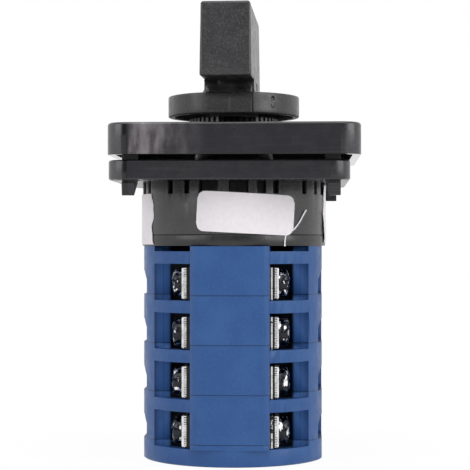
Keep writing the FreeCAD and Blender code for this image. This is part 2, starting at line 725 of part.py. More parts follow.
def collar_notches(body):
    """Notches round the top of the housing, the same in each quarter."""
    sketch = new_sketch(body, "collar_sketch", offset="plate_low - collar_height")
    for angle, width in COLLAR_NOTCHES:
        points = []
        foot, mouth = "housing_radius - collar_notch", "housing_radius + overrun"
        for radius, share in ((foot, -NOTCH_FOOT), (mouth, -1), (mouth, 1), (foot, NOTCH_FOOT)):
            heading = angle + share * width / 2
            points.append((f"({radius}) * sin({heading} deg)", f"-({radius}) * cos({heading} deg)"))
        add_polygon(sketch, points)
    notch = pocket(body, "collar_notches", sketch, "collar_height + overrun")
    return polar_pattern(body, "collar", [notch], 4)


def detent_housing():
    body = new_body("detent_housing")
    drum = new_sketch(body, "drum_sketch", offset="housing_low")
    add_circle(drum, "housing_radius")
    pad(body, "drum", drum, "housing_height")
    inside = new_sketch(body, "inside_sketch", offset="housing_low")
    add_circle(inside, "housing_radius - housing_wall")
    pocket(body, "inside", inside, "housing_height - housing_top")
    bosses = new_sketch(body, "bosses_sketch", offset="plate_low - plate_screw_reach - overrun")
    for sx, sy in CORNERS:
        add_circle(bosses, "plate_screw_boss", f"{sx} * plate_screw_place", f"{sy} * plate_screw_place")
    pad(body, "bosses", bosses, "plate_screw_reach + overrun - housing_top / 2")
    threads = new_sketch(body, "threads_sketch", offset="plate_low - plate_screw_reach - thread_end_gap")
    for sx, sy in CORNERS:
        add_circle(threads, "plate_screw_radius + thread_clearance", f"{sx} * plate_screw_place",
                   f"{sy} * plate_screw_place")
    pocket(body, "threads", threads, "plate_screw_reach + overrun")
    bearing = new_sketch(body, "bearing_sketch", offset="housing_low")
    add_circle(bearing, "star_hub_radius + star_hub_clearance")
    pocket(body, "bearing", bearing, "housing_height")
    collar_notches(body)
    return body


def mounting_plate():
    body = new_body("mounting_plate")
    outline = new_sketch(body, "outline", offset="plate_low")
    add_rounded_rectangle(outline, "plate_side / 2", "plate_side / 2", "plate_corner")
    pad(body, "plate", outline, "plate_height")
    bore = new_sketch(body, "bore_sketch", offset="plate_low")
    add_circle(bore, "plate_bore")
    for sx, sy in CORNERS:
        add_circle(bore, "plate_bolt_radius", f"{sx} * plate_bolt_half", f"{sy} * plate_bolt_half")
        add_circle(bore, "plate_screw_radius + tie_clearance", f"{sx} * plate_screw_place",
                   f"{sy} * plate_screw_place")
    pocket(body, "holes", bore, "plate_height")
    seats = new_sketch(body, "screw_seats_sketch", offset="plate_screw_seat")
    for sx, sy in CORNERS:
        add_circle(seats, "plate_screw_head + tie_clearance", f"{sx} * plate_screw_place",
                   f"{sy} * plate_screw_place")
    pocket(body, "screw_seats", seats, "plate_screw_head_height + plate_screw_sink")
    openings = new_sketch(body, "clip_slot_sketch", offset="plate_low")
    across = "(clip_across / 2 + clip_shift + clip_clearance)"
    along = "(clip_thickness / 2 + clip_clearance)"
    for sx, sy in CORNERS:
        add_rectangle(openings, f"{sx} * clip_x - {across}", f"{sx} * clip_x + {across}",
                      f"{sy} * clip_y - {along}", f"{sy} * clip_y + {along}")
    slots = pocket(body, "clip_slots", openings, "plate_height")

    def outer_edges(middle, span):
        flat = min(abs(middle.z - size("plate_low")), abs(middle.z - size("plate_top"))) < 0.01
        straight = max(abs(middle.x), abs(middle.y)) > size("plate_side / 2") - 0.01
        arc_middle = size("plate_side / 2 - plate_corner") + size("plate_corner") * math.sqrt(0.5)
        round_corner = min(abs(middle.x), abs(middle.y)) > arc_middle - 0.01
        return flat and (straight or round_corner)
    chamfer(body, "plate_edges", slots, "edge_break", outer_edges)
    return body


def escutcheon_clip(body, number, sx, sy):
    """Leg through the mounting plate, tapered at its inner foot, with a barb that faces outwards."""
    inner, outer = "clip_x - clip_across / 2", "clip_x + clip_across / 2"
    shoulder = "clip_low + clip_barb_height"
    leg_top = "escutcheon_top - escutcheon_wall / 2"
    points = ((outer, "clip_low"), (outer, leg_top), (inner, leg_top), (inner, shoulder),
              (f"{inner} + clip_taper", "clip_low"))
    leg = new_sketch(body, f"clip_leg_sketch_{number}", plane="XZ_Plane",
                     offset=f"{-sy} * clip_y - clip_thickness / 2")
    add_polygon(leg, [(f"{sx} * ({x}) + clip_shift", z) for x, z in points])
    pad(body, f"clip_leg_{number}", leg, "clip_thickness")
    width = "(clip_across - clip_taper)"
    barb = new_sketch(body, f"clip_barb_sketch_{number}", plane="YZ_Plane",
                      offset=f"{sx} * (clip_x + clip_taper / 2) + clip_shift - {width} / 2")
    face = "clip_y + clip_thickness / 2"
    add_polygon(barb, ((f"{sy} * ({face})", "clip_low"), (f"{sy} * ({face} + clip_barb)", shoulder),
                       (f"{sy} * ({face})", shoulder)))
    pad(body, f"clip_barb_{number}", barb, width)


def escutcheon():
    """Square cover plate: a shell open below, with a seat ring, four clip legs and a ribbed ring."""
    body = new_body("escutcheon")
    half = "escutcheon_side / 2"
    outline = new_sketch(body, "outline", offset="escutcheon_low")
    add_rounded_rectangle(outline, half, half, "escutcheon_corner", x="escutcheon_shift")
    shell = pad(body, "plate", outline, "escutcheon_height")

    def upper_edges(middle, span):
        return abs(middle.z - size("escutcheon_top")) < 0.01
    fillet(body, "upper_round", shell, "escutcheon_round", upper_edges)
    inside = new_sketch(body, "inside_sketch", offset="escutcheon_low")
    inner = f"{half} - escutcheon_wall"
    add_rounded_rectangle(inside, f"({inner})", f"({inner})", "(escutcheon_corner - escutcheon_wall)",
                          x="escutcheon_shift")
    pocket(body, "inside", inside, "escutcheon_height - escutcheon_wall")

    for number, (sx, sy) in enumerate(CORNERS, start=1):
        escutcheon_clip(body, number, sx, sy)

    ring = new_sketch(body, "seat_ring_sketch", offset="plate_top")
    add_circle(ring, "seat_ring_radius")
    pad(body, "seat_ring", ring, "escutcheon_top - plate_top - escutcheon_wall / 2")
    collar = new_sketch(body, "rib_ring_sketch", offset="escutcheon_top - escutcheon_wall")
    add_circle(collar, "rib_ring_radius")
    pad(body, "rib_ring", collar, "rib_ring_height + escutcheon_wall")
    opening = new_sketch(body, "opening_sketch", offset="plate_top")
    add_circle(opening, "seat_ring_radius - seat_ring_wall")
    pocket(body, "opening", opening, "escutcheon_top + rib_ring_height - plate_top + overrun")
    groove = new_sketch(body, "groove_sketch", offset="escutcheon_top")
    half_pitch = "180 deg / rib_count / 2"
    foot, mouth = "(rib_ring_radius - rib_depth)", "(rib_ring_radius + rib_depth)"
    add_polygon(groove, [(f"{side} * {radius} * tan({half_pitch})", f"-{radius}")
                         for side, radius in ((-1, foot), (1, foot), (1, mouth), (-1, mouth))])
    first = pocket(body, "groove", groove, "rib_ring_height + overrun")
    polar_pattern(body, "grooves", [first], int(size("rib_count")))
    return body


# Knob

def knob():
    """One moulding: round disc, hollow below, and a bar grip whose nose overhangs at the front."""
    body = new_body("knob")
    disc = new_sketch(body, "disc_sketch", offset="disc_low")
    add_circle(disc, "disc_radius")
    plate = pad(body, "disc", disc, "disc_height")

    def rims(middle, span):
        return abs(span.z) < 0.01
    fillet(body, "disc_edges", plate, "edge_break", rims)
    hollow = new_sketch(body, "hollow_sketch", offset="disc_low")
    add_circle(hollow, "disc_radius - disc_rim")
    pocket(body, "hollow", hollow, "disc_hollow")
    hub = new_sketch(body, "hub_sketch", offset="disc_low - knob_hub_drop")
    add_circle(hub, "knob_hub_radius")
    pad(body, "hub", hub, "knob_hub_drop + disc_hollow + root_depth")
    flat = new_sketch(body, "flat_sketch", offset="disc_low")
    add_rectangle(flat, "-disc_radius", "disc_radius", "-disc_radius - overrun", "-disc_flat")
    pocket(body, "pointer_flat", flat, "disc_height")

    plan = new_sketch(body, "grip_plan", offset="disc_top - root_depth")
    add_polygon(plan, (("-grip_front_half", "-grip_front"), ("grip_front_half", "-grip_front"),
                       ("grip_rear_half", "grip_rear"), ("-grip_rear_half", "grip_rear")))
    pad(body, "grip", plan, "grip_height + root_depth", taper="-grip_draft")

    side = new_sketch(body, "grip_side", plane="YZ_Plane", offset="-disc_radius")
    ahead = "-grip_front - overrun"
    nose_low = "disc_top + nose_underside"
    add_polygon(side, ((ahead, "disc_top"), ("-neck_front - neck_fillet", "disc_top"),
                       ("-neck_front", "disc_top + neck_fillet"), ("-neck_front", f"{nose_low} - neck_bevel"),
                       ("-neck_front - neck_bevel", nose_low), (ahead, nose_low)))
    pocket(body, "under_nose", side, "2 * disc_radius")
    below = new_sketch(body, "below_nose_sketch", offset="disc_top - root_depth")
    add_rectangle(below, "-grip_front", "grip_front", ahead, "-disc_flat")
    pocket(body, "below_nose", below, "root_depth")
    slope = new_sketch(body, "slope_side", plane="YZ_Plane", offset="-disc_radius")
    behind = "grip_rear + overrun"
    add_polygon(slope, ((ahead, "knob_top"), (behind, "knob_top - grip_top_drop"),
                        (behind, "knob_top + overrun"), (ahead, "knob_top + overrun")))
    top = pocket(body, "top_slope", slope, "2 * disc_radius")

    def grip_edges(middle, span):
        upper = middle.z > size("knob_top - grip_top_drop") - 0.01
        upright = abs(span.z) > size("grip_height / 2")
        return upper or (upright and middle.z > size("disc_top"))
    fillet(body, "grip_round", top, "grip_round", grip_edges)

    square_socket(body, "disc_low - knob_hub_drop - overrun", "knob_socket + knob_hub_drop + overrun")
    bore = new_sketch(body, "screw_bore_sketch", offset="disc_low")
    add_circle(bore, "knob_bore")
    pocket(body, "screw_bore", bore, "knob_top - disc_low")
    head = new_sketch(body, "screw_seat_sketch", offset="knob_screw_seat")
    add_circle(head, "knob_counterbore")
    pocket(body, "screw_seat", head, "knob_top - knob_screw_seat")
    body.Placement = Placement(Vector(0, 0, 0), Rotation(Vector(0, 0, 1), -1))
    bind(body, Placement__Rotation__Angle="-knob_play")
    return body


def knob_screw():
    head = cylinder("knob_screw_head", "knob_screw_head", "knob_screw_head_height", z="knob_screw_seat")
    shank = cylinder("knob_screw_shank", "knob_screw_radius", "knob_screw_seat - knob_screw_end + root_depth",
                     z="knob_screw_end")
    whole = fuse("knob_screw_whole", head, shank)
    slot = box("knob_screw_slot", "-knob_screw_head", "-slot_width / 2",
               "knob_screw_seat + knob_screw_head_height - slot_depth", "2 * knob_screw_head", "slot_width",
               "slot_depth + overrun")
    screw = cut("knob_screw", whole, slot)
    screw.Label = "knob_screw"
    return screw


# Fasteners

def plate_screws():
    """Four pan-head screws that hold the mounting plate on the detent housing."""
    at = ("plate_screw_place", "plate_screw_place")
    low = "plate_low - plate_screw_reach"
    head = cylinder("plate_screw_head_disc", "plate_screw_head", "plate_screw_head_height", *at,
                    "plate_screw_seat")
    shank = cylinder("plate_screw_shank", "plate_screw_radius", f"plate_screw_seat - ({low}) + root_depth",
                     *at, low)
    whole = fuse("plate_screw_whole", head, shank)
    slot = box("plate_screw_slot", "plate_screw_place - plate_screw_head",
               "plate_screw_place - slot_width / 2",
               "plate_screw_seat + plate_screw_head_height - slot_depth", "2 * plate_screw_head",
               "slot_width", "slot_depth + overrun")
    screw = cut("plate_screw", whole, slot)
    turns = [Placement(Vector(0, 0, 0), Rotation(Vector(0, 0, 1), 90 * quarter)) for quarter in range(4)]
    return group_of("plate_screws", screw, turns)


def tie_bolts():
    """Two long bolts that clamp the stages between the end cover and the detent base."""
    head = cylinder("tie_head", "tie_head_radius", "tie_head_height", "0", "tie_place", "tie_head_seat")
    shank = cylinder("tie_shank", "tie_radius", "housing_low + nut_height + tie_end - tie_head_seat", "0",
                     "tie_place", "tie_head_seat")
    whole = fuse("tie_whole", head, shank)
    slot = box("tie_slot", "-tie_head_radius", "tie_place - slot_width / 2", "tie_head_seat - overrun",
               "2 * tie_head_radius", "slot_width", "slot_depth + overrun")
    bolt = cut("tie_bolt", whole, slot)
    return group_of("tie_bolts", bolt, (Placement(), Placement(Vector(0, 0, 0), HALF)))


def tie_nuts():
    prism = document.addObject("Part::Prism", "tie_nut_prism")
    prism.Polygon = 6
    bind(prism, Circumradius="nut_flats / 2 / cos(30 deg)", Height="nut_height")
    move(prism, "0", "tie_place", "housing_low")
    hole = cylinder("tie_nut_hole", "tie_radius + thread_clearance", "nut_height + 2 * overrun", "0",
                    "tie_place", "housing_low - overrun")
    nut = cut("tie_nut", prism, hole)
    return group_of("tie_nuts", nut, (Placement(), Placement(Vector(0, 0, 0), HALF)))


# Stickers

def sticker_shell(body, low, height):
    """Keep only the thin shell that lies on the housing's wall."""
    core = new_sketch(body, "core_sketch", offset=low)
    add_circle(core, "housing_radius")
    pocket(body, "core", core, height)
    skin = new_sketch(body, "skin_sketch", offset=low)
    add_circle(skin, "housing_radius + label_thickness")
    add_circle(skin, "housing_radius + label_margin")
    pocket(body, "skin", skin, height)


def front_label():
    body = new_body("front_label")
    outline = new_sketch(body, "outline", plane="XZ_Plane")
    outline.AttachmentOffset = Placement(Vector(0, 0, 0), Rotation(Vector(0, 0, 1), -1))
    bind(outline, AttachmentOffset__Base__x="front_label_place",
         AttachmentOffset__Base__y="front_label_level", AttachmentOffset__Base__z="housing_radius / 2",
         AttachmentOffset__Rotation__Angle="-front_label_tilt")
    add_rounded_rectangle(outline, "front_label_width / 2", "front_label_height / 2", "front_label_corner")
    pad(body, "sheet", outline, "housing_radius / 2 + overrun")
    sticker_shell(body, "front_label_level - front_label_height", "2 * front_label_height")
    return body


def side_label(side):
    """Sticker that wraps a side of the housing, from near the front towards the rear."""
    sign = SIDES[side]
    name = f"{side}_label"
    low, height = f"{name}_low", f"{name}_height"
    start = f"{name}_from - 90" if sign > 0 else f"270 - {name}_from - side_label_span"
    outer = cylinder(f"{name}_outer", "housing_radius + label_thickness", height, z=low,
                     turn=Rotation(Vector(0, 0, 1), 1))
    bind(outer, Angle="side_label_span", Placement__Rotation__Angle=start)
    inner = cylinder(f"{name}_inner", "housing_radius", f"{height} + 2 * overrun", z=f"{low} - overrun")
    label = cut(name, outer, inner)
    label.Label = name
    return label


def build():
    pieces = [knob(), knob_screw(), shaft(), star_wheel(), escutcheon(), mounting_plate(), plate_screws(),
              detent_housing(), detent_base(), detent_plungers(), detent_springs(), end_cover(),
              terminal_screws(), clamp_washers(), fixed_contacts(), return_springs(), tie_bolts(), tie_nuts(),
              front_label(), side_label("left"), side_label("right")]
    for number in STAGES:
        pieces += [contact_stage(number), cam(number)]
        for side in SIDES:
            pieces += [contact_carrier(side, number), contact_bridge(side, number),
                       contact_spring(side, number)]
    return pieces


def check(pieces):
    """Stop at a failed object, an invalid shape or a cut that removed nothing."""
    for thing in document.Objects:
        if {"Invalid", "Error"} & set(thing.State):
            raise RuntimeError(f"{thing.Name} ({thing.Label}) failed: {thing.State}")
        base = getattr(thing, "BaseFeature", None)
        if thing.TypeId == "PartDesign::Pocket" and base and thing.Shape.Volume > base.Shape.Volume - 1e-6:
            raise RuntimeError(f"{thing.Name} of {thing.getParentGeoFeatureGroup().Label} cuts nothing")
    for piece in pieces:
        if piece.Shape.isNull() or not piece.Shape.isValid() or not piece.Shape.Solids:
            raise RuntimeError(f"{piece.Label} has no valid solid")


parts = build()
document.recompute()
check(parts)
os.makedirs("parts", exist_ok=True)
for part in parts:
    part.Shape.exportStep(f"parts/{part.Label}.step")
    print(f"{part.Label}: {len(part.Shape.Solids)} solid(s), {part.Shape.Volume:.1f} mm3")
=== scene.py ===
import json
import math

import bmesh
import bpy
import numpy as np
from mathutils import Matrix, Vector


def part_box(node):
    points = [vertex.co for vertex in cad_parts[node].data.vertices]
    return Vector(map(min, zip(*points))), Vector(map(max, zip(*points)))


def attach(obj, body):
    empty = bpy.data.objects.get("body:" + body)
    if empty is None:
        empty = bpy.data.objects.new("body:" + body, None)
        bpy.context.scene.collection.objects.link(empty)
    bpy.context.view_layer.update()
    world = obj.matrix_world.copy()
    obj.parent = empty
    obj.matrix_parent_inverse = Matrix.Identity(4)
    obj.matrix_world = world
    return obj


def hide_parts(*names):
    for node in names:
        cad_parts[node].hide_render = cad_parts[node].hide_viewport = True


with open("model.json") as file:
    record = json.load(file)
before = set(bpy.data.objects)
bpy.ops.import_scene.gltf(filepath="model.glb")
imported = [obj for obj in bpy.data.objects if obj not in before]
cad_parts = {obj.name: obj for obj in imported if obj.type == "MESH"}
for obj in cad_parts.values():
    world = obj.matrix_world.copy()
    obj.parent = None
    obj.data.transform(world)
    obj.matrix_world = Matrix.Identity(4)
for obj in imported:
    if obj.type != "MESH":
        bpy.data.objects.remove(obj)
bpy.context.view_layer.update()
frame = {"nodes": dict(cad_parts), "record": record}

# Rotary cam switch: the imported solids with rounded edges, a moulded knob, stickers and finishes.
# Sizes are in millimetres in the solids' frame: +Z up the shaft, -Y the knob's nose.

MM = 0.001
slot_of = {part["node"]: part["material_slot"] for part in frame["record"]["subparts"]}
body_of = {node: body for body, nodes in frame["record"]["behaviour"]["bodies"].items() for node in nodes}

# Places taken over from the solids
DISC_LOW = 90.8
DISC_TOP = 96.3
KNOB_TOP = 118.66
HOUSING_RADIUS = 24.6
STAGES = (1, 2, 3, 4)
COVER_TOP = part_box("end_cover")[1][2] / MM
STAGE_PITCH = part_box("contact_stage_3")[0][2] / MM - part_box("contact_stage_4")[0][2] / MM
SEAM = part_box("detent_housing")[0][2]


# Camera

CAMERA_HEIGHT = 57.16
CAMERA_DISTANCE = 416.0
CAMERA_TURN = 2.66
CAMERA_PITCH = 0.298
CAMERA_LENS = 118.15
CAMERA_SHIFT = (0.00255, -0.0006)


def make_camera():
    data = bpy.data.cameras.new("camera")
    data.lens = CAMERA_LENS
    data.sensor_width = 36.0
    data.shift_x, data.shift_y = CAMERA_SHIFT
    data.clip_start, data.clip_end = 0.01, 20.0
    camera = bpy.data.objects.new("camera", data)
    bpy.context.scene.collection.objects.link(camera)
    turn = math.radians(CAMERA_TURN)
    back = -math.cos(turn) * CAMERA_DISTANCE
    camera.location = Vector((math.sin(turn) * CAMERA_DISTANCE, back, CAMERA_HEIGHT)) * MM
    camera.rotation_euler = (math.radians(90 + CAMERA_PITCH), 0, turn)
    bpy.context.scene.camera = camera


# Materials

BLACK = (0.004, 0.004, 0.004)
GRAIN_DEPTH = 0.00003

# The places below are in metres; a pair gives where a mask starts and where it ends

# Knob: painted shade in the two hollows under the nose, weaker along the streak between them
STREAK_SHIFT = 0.0029
HOLLOW_SHADE_ACROSS, HOLLOW_SHADE_ALONG, HOLLOW_SHADE_LEVELS = (-0.0074, 0.0062), (-0.0168, -0.0118), (0.0964, 0.103)

# Front plate: haze and a painted dark reflection band at the left, skins, painted corner highlights, painted
# shade in the gap below and the ring of ribs
HAZE_START, HAZE_END = -0.0252, -0.004
BAND_START, BAND_END = -0.0266, -0.0252
FRONT_SKIN, SIDE_SKIN = (-0.0319, -0.0314), (-0.025, -0.024)
RIGHT_CORNER_HIGHLIGHT = (0.0288, 0.0296)
PLATE_TOP, PANEL_LOW, PANEL_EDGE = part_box("mounting_plate")[1][2], 0.0793, 0.0868
GAP_SHADE_ACROSS = (-0.0262, 0.0292)
UNDER_SIDE = (0.0273, 0.0278)
RING_LEVEL, RING_REACH, CREST_REACH = (0.0878, 0.0886), (0.013, 0.0128), (0.01165, 0.0119)
RIB_MIDDLE, RIB_SIDE = 0.00125, (0.0043, 0.0049)

# Housing: painted shade in the collar's notches and in the seam on the base
NOTCH_LOW, NOTCH_REACH = 0.0698, (0.0238, 0.0244)
SEAM_SOFT = (0.00008, 0.0002)

# Blue stages: the painted shade line on a pocket's wall, the wall's outer part painted lighter and the
# pocket's inside
WALL_LINE, WALL_ALONG = 0.0179, (0.0127, 0.013)
POCKET_ACROSS, POCKET_ALONG = (0.0161, 0.0203), (0.0122, 0.0133)
INSIDE_ACROSS, INSIDE_ALONG, BLOCK_SIDE = (0.0155, 0.0166), (0.0135, 0.0195), (0.0101, 0.0103)
# Half width of the painted shade line between two stages, in millimetres
JOINT_HALF = (0.05, 0.2)

# Contact strips: the painted highlight on the edge next to the block
STRIP_HIGHLIGHT = (0.0104, 0.0110)


def new_material(name, colour, roughness, metallic=0.0, specular=0.5):
    material = bpy.data.materials.new(name)
    material.use_nodes = True
    shader = material.node_tree.nodes["Principled BSDF"]
    shader.inputs["Base Color"].default_value = (*colour, 1)
    shader.inputs["Roughness"].default_value = roughness
    shader.inputs["Metallic"].default_value = metallic
    shader.inputs["Specular IOR Level"].default_value = specular
    return material


class Painter:
    """Adds texture nodes to one material."""

    def __init__(self, material):
        self.tree = material.node_tree
        self.shader = self.tree.nodes["Principled BSDF"]
        self.place = self.tree.nodes.new("ShaderNodeTexCoord").outputs["Object"]

    def link(self, source, target):
        self.tree.links.new(source, target)

    def stretched(self, scale):
        mapping = self.tree.nodes.new("ShaderNodeMapping")
        mapping.inputs["Scale"].default_value = scale
        self.link(self.place, mapping.inputs["Vector"])
        return mapping.outputs["Vector"]

    def noise(self, per_metre, detail=2.0, stretch=None):
        node = self.tree.nodes.new("ShaderNodeTexNoise")
        node.inputs["Scale"].default_value = per_metre
        node.inputs["Detail"].default_value = detail
        self.link(self.stretched(stretch) if stretch else self.place, node.inputs["Vector"])
        return node.outputs["Fac"]

    def axis(self, name):
        node = self.tree.nodes.new("ShaderNodeSeparateXYZ")
        self.link(self.place, node.inputs["Vector"])
        return node.outputs[name]

    def distance(self):
        """Distance from the shaft's axis."""
        flat = self.stretched((1.0, 1.0, 0.0))
        node = self.tree.nodes.new("ShaderNodeVectorMath")
        node.operation = "LENGTH"
        self.link(flat, node.inputs[0])
        return node.outputs["Value"]

    def spread(self, value, low, high, to_low=0.0, to_high=1.0):
        """Map a value's range to another range, with smooth ends."""
        node = self.tree.nodes.new("ShaderNodeMapRange")
        node.interpolation_type = "SMOOTHSTEP"
        for socket, number in zip(("From Min", "From Max", "To Min", "To Max"), (low, high, to_low, to_high)):
            node.inputs[socket].default_value = number
        self.link(value, node.inputs["Value"])
        return node.outputs["Result"]

    def band(self, value, low, high, edge):
        """One between low and high, zero outside, with soft edges of a given width."""
        rising = self.spread(value, low, low + edge)
        return self.combine("MULTIPLY", rising, self.spread(value, high - edge, high, 1.0, 0.0))

    def all_of(self, *masks):
        product = masks[0]
        for mask in masks[1:]:
            product = self.combine("MULTIPLY", product, mask)
        return product

    def combine(self, operation, first, second):
        node = self.tree.nodes.new("ShaderNodeMath")
        node.operation = operation
        for socket, value in zip(node.inputs, (first, second)):
            if isinstance(value, (int, float)):
                socket.default_value = value
            else:
                self.link(value, socket)
        return node.outputs["Value"]

    def mix(self, factor, first, second):
        node = self.tree.nodes.new("ShaderNodeMix")
        node.data_type = "RGBA"
        self.link(factor, node.inputs["Factor"])
        for socket, colour in ((node.inputs["A"], first), (node.inputs["B"], second)):
            if isinstance(colour, tuple):
                socket.default_value = (*colour, 1)
            else:
                self.link(colour, socket)
        return node.outputs["Result"]

    def bump(self, height, strength, depth):
        node = self.tree.nodes.new("ShaderNodeBump")
        node.inputs["Strength"].default_value = strength
        node.inputs["Distance"].default_value = depth
        self.link(height, node.inputs["Height"])
        self.link(node.outputs["Normal"], self.shader.inputs["Normal"])

    def colour(self, value):
        self.link(value, self.shader.inputs["Base Color"])

    def roughness(self, value):
        self.link(value, self.shader.inputs["Roughness"])


def moulded(name, colour, lighter, roughness, speckle=0.5):
    """Moulded plastic: faint mottling, a fine sparkling grain and slightly uneven gloss."""
    material = new_material(name, colour, roughness)
    paint = Painter(material)
    mottled = paint.mix(paint.spread(paint.noise(160, 3), 0.35, 0.7), colour, lighter)
    grain = paint.spread(paint.noise(2300, 2), 0.46, 0.7, 0.0, speckle)
    paint.colour(paint.mix(grain, mottled, tuple(channel * 2.8 for channel in lighter)))
    paint.roughness(paint.spread(paint.noise(420, 3), 0.3, 0.7, roughness - 0.06, roughness + 0.08))
    paint.bump(paint.noise(2600, 2), 0.5, GRAIN_DEPTH)
    return material


def knob_finish():
    """Grained black plastic with painted shade in the two hollows under the nose."""
    material = moulded("knob_plastic", (0.025, 0.024, 0.026), (0.03, 0.029, 0.031), 0.33)
    paint = Painter(material)
    plain = paint.shader.inputs["Base Color"].links[0].from_socket
    streak = paint.combine("ABSOLUTE", paint.combine("ADD", paint.axis("X"), STREAK_SHIFT), 0.0)
    # Painted shade: the two hollows under the nose are darkened, less along the streak between them, and made
    # rough
    hollow_shade = paint.all_of(paint.band(paint.axis("X"), *HOLLOW_SHADE_ACROSS, 0.0006),
                           paint.spread(streak, 0.0002, 0.0012, 0.4, 1.0),
                           paint.band(paint.axis("Y"), *HOLLOW_SHADE_ALONG, 0.0004),
                           paint.band(paint.axis("Z"), *HOLLOW_SHADE_LEVELS, 0.003))
    paint.colour(paint.mix(hollow_shade, plain, (0.001, 0.001, 0.001)))
    gloss = paint.shader.inputs["Roughness"].links[0].from_socket
    paint.roughness(paint.combine("MAXIMUM", gloss, paint.spread(hollow_shade, 0.0, 1.0, 0.0, 0.95)))
    return material


def plate_finish():
    """Shiny black plastic: fine level scratches, a pale streaky haze at the front's left, ribs painted black
    with pale crests in front, painted corner highlights, a painted dark reflection and painted gap shade.
    """
    dark, scratched, pale = (0.0135, 0.013, 0.017), (0.031, 0.03, 0.034), (0.19, 0.175, 0.185)
    material = new_material("plate_plastic", dark, 0.26)
    paint = Painter(material)
    across, along, level = paint.axis("X"), paint.axis("Y"), paint.axis("Z")
    scratches = paint.spread(paint.noise(1500, 4, (0.03, 1.0, 1.0)), 0.5, 0.75, 0.0, 0.8)
    base = paint.mix(scratches, dark, scratched)
    left = paint.all_of(paint.spread(across, HAZE_START, HAZE_START + 0.0006),
                        paint.spread(across, HAZE_START, HAZE_END, 1.0, 0.0))
    streaks = paint.spread(paint.noise(330, 5, (1.0, 1.0, 0.35)), 0.36, 0.68, 0.15, 1.15)
    haze = paint.all_of(left, paint.spread(along, *FRONT_SKIN, 1.0, 0.0), streaks)
    colour = paint.mix(haze, base, pale)
    side = paint.all_of(paint.spread(along, *SIDE_SKIN, 1.0, 0.0),
                        paint.spread(level, PANEL_EDGE, PANEL_EDGE + 0.0003, 1.0, 0.0))
    # Painted highlight: pale strips painted on the plate's left and right front corners
    corner_highlight = paint.combine("ADD", paint.spread(across, BAND_START - 0.0004, BAND_START, 0.25, 0.0),
                           paint.spread(across, *RIGHT_CORNER_HIGHLIGHT, 0.0, 0.14))
    corner_highlight = paint.combine("MULTIPLY", corner_highlight, side)
    colour = paint.mix(corner_highlight, colour, pale)
    # Painted shade: the gap between the front plate and the mounting plate is painted near black
    gap_shade = paint.all_of(paint.band(level, PLATE_TOP - 0.0001, PANEL_LOW + 0.0001, 0.00004),
                       paint.band(across, *GAP_SHADE_ACROSS, 0.0004))
    # Painted reflection: a near-black band on the left front corner where it mirrors the dark surroundings
    band = paint.all_of(paint.band(across, BAND_START, BAND_END, 0.0004), side)
    colour = paint.mix(paint.combine("MAXIMUM", gap_shade, band), colour, (0.002, 0.002, 0.002))
    ring = paint.all_of(paint.spread(level, *RING_LEVEL), paint.spread(paint.distance(), *RING_REACH))
    aside = paint.combine("ABSOLUTE", paint.combine("SUBTRACT", across, RIB_MIDDLE), 0.0)
    ribs = paint.mix(paint.spread(aside, *RIB_SIDE), BLACK, (0.34, 0.33, 0.335))
    crests = paint.spread(paint.distance(), *CREST_REACH)
    colour = paint.mix(ring, colour, BLACK)
    paint.colour(paint.mix(paint.all_of(ring, crests), colour, ribs))
    gloss = paint.spread(paint.noise(300, 3), 0.3, 0.75, 0.2, 0.34)
    under = paint.all_of(paint.band(level, PANEL_LOW - 0.0001, PANEL_LOW + 0.0002, 0.00004),
                         paint.spread(aside, *UNDER_SIDE))
    smoother = paint.combine("MULTIPLY", gloss, paint.spread(under, 0.0, 1.0, 1.0, 0.2))
    smoother = paint.combine("MINIMUM", smoother, paint.spread(band, 0.0, 1.0, 1.0, 0.07))
    paint.roughness(paint.combine("MAXIMUM", smoother, paint.spread(gap_shade, 0.0, 1.0, 0.0, 0.5)))
    paint.bump(paint.noise(2000, 3), 0.15, 0.00002)
    return material


def housing_finish(name, colour, lighter):
    """Satin black plastic with painted shade inside the collar's notches and in the seam on the base."""
    material = moulded(name, colour, lighter, 0.3, speckle=0.2)
    paint = Painter(material)
    plain = paint.shader.inputs["Base Color"].links[0].from_socket
    level = paint.axis("Z")
    # Painted shade: darkened inside the collar's notches and along the seam on the base
    notch_shade = paint.combine("MULTIPLY", paint.spread(level, NOTCH_LOW - 0.0001, NOTCH_LOW + 0.0002),
                          paint.spread(paint.distance(), *NOTCH_REACH, 1.0, 0.0))
    away = paint.combine("ABSOLUTE", paint.combine("SUBTRACT", level, SEAM), 0.0)
    seam_shade = paint.spread(away, *SEAM_SOFT, 1.0, 0.0)
    painted_shade = paint.combine("MAXIMUM", notch_shade, seam_shade)
    paint.colour(paint.mix(painted_shade, plain, BLACK))
    return material


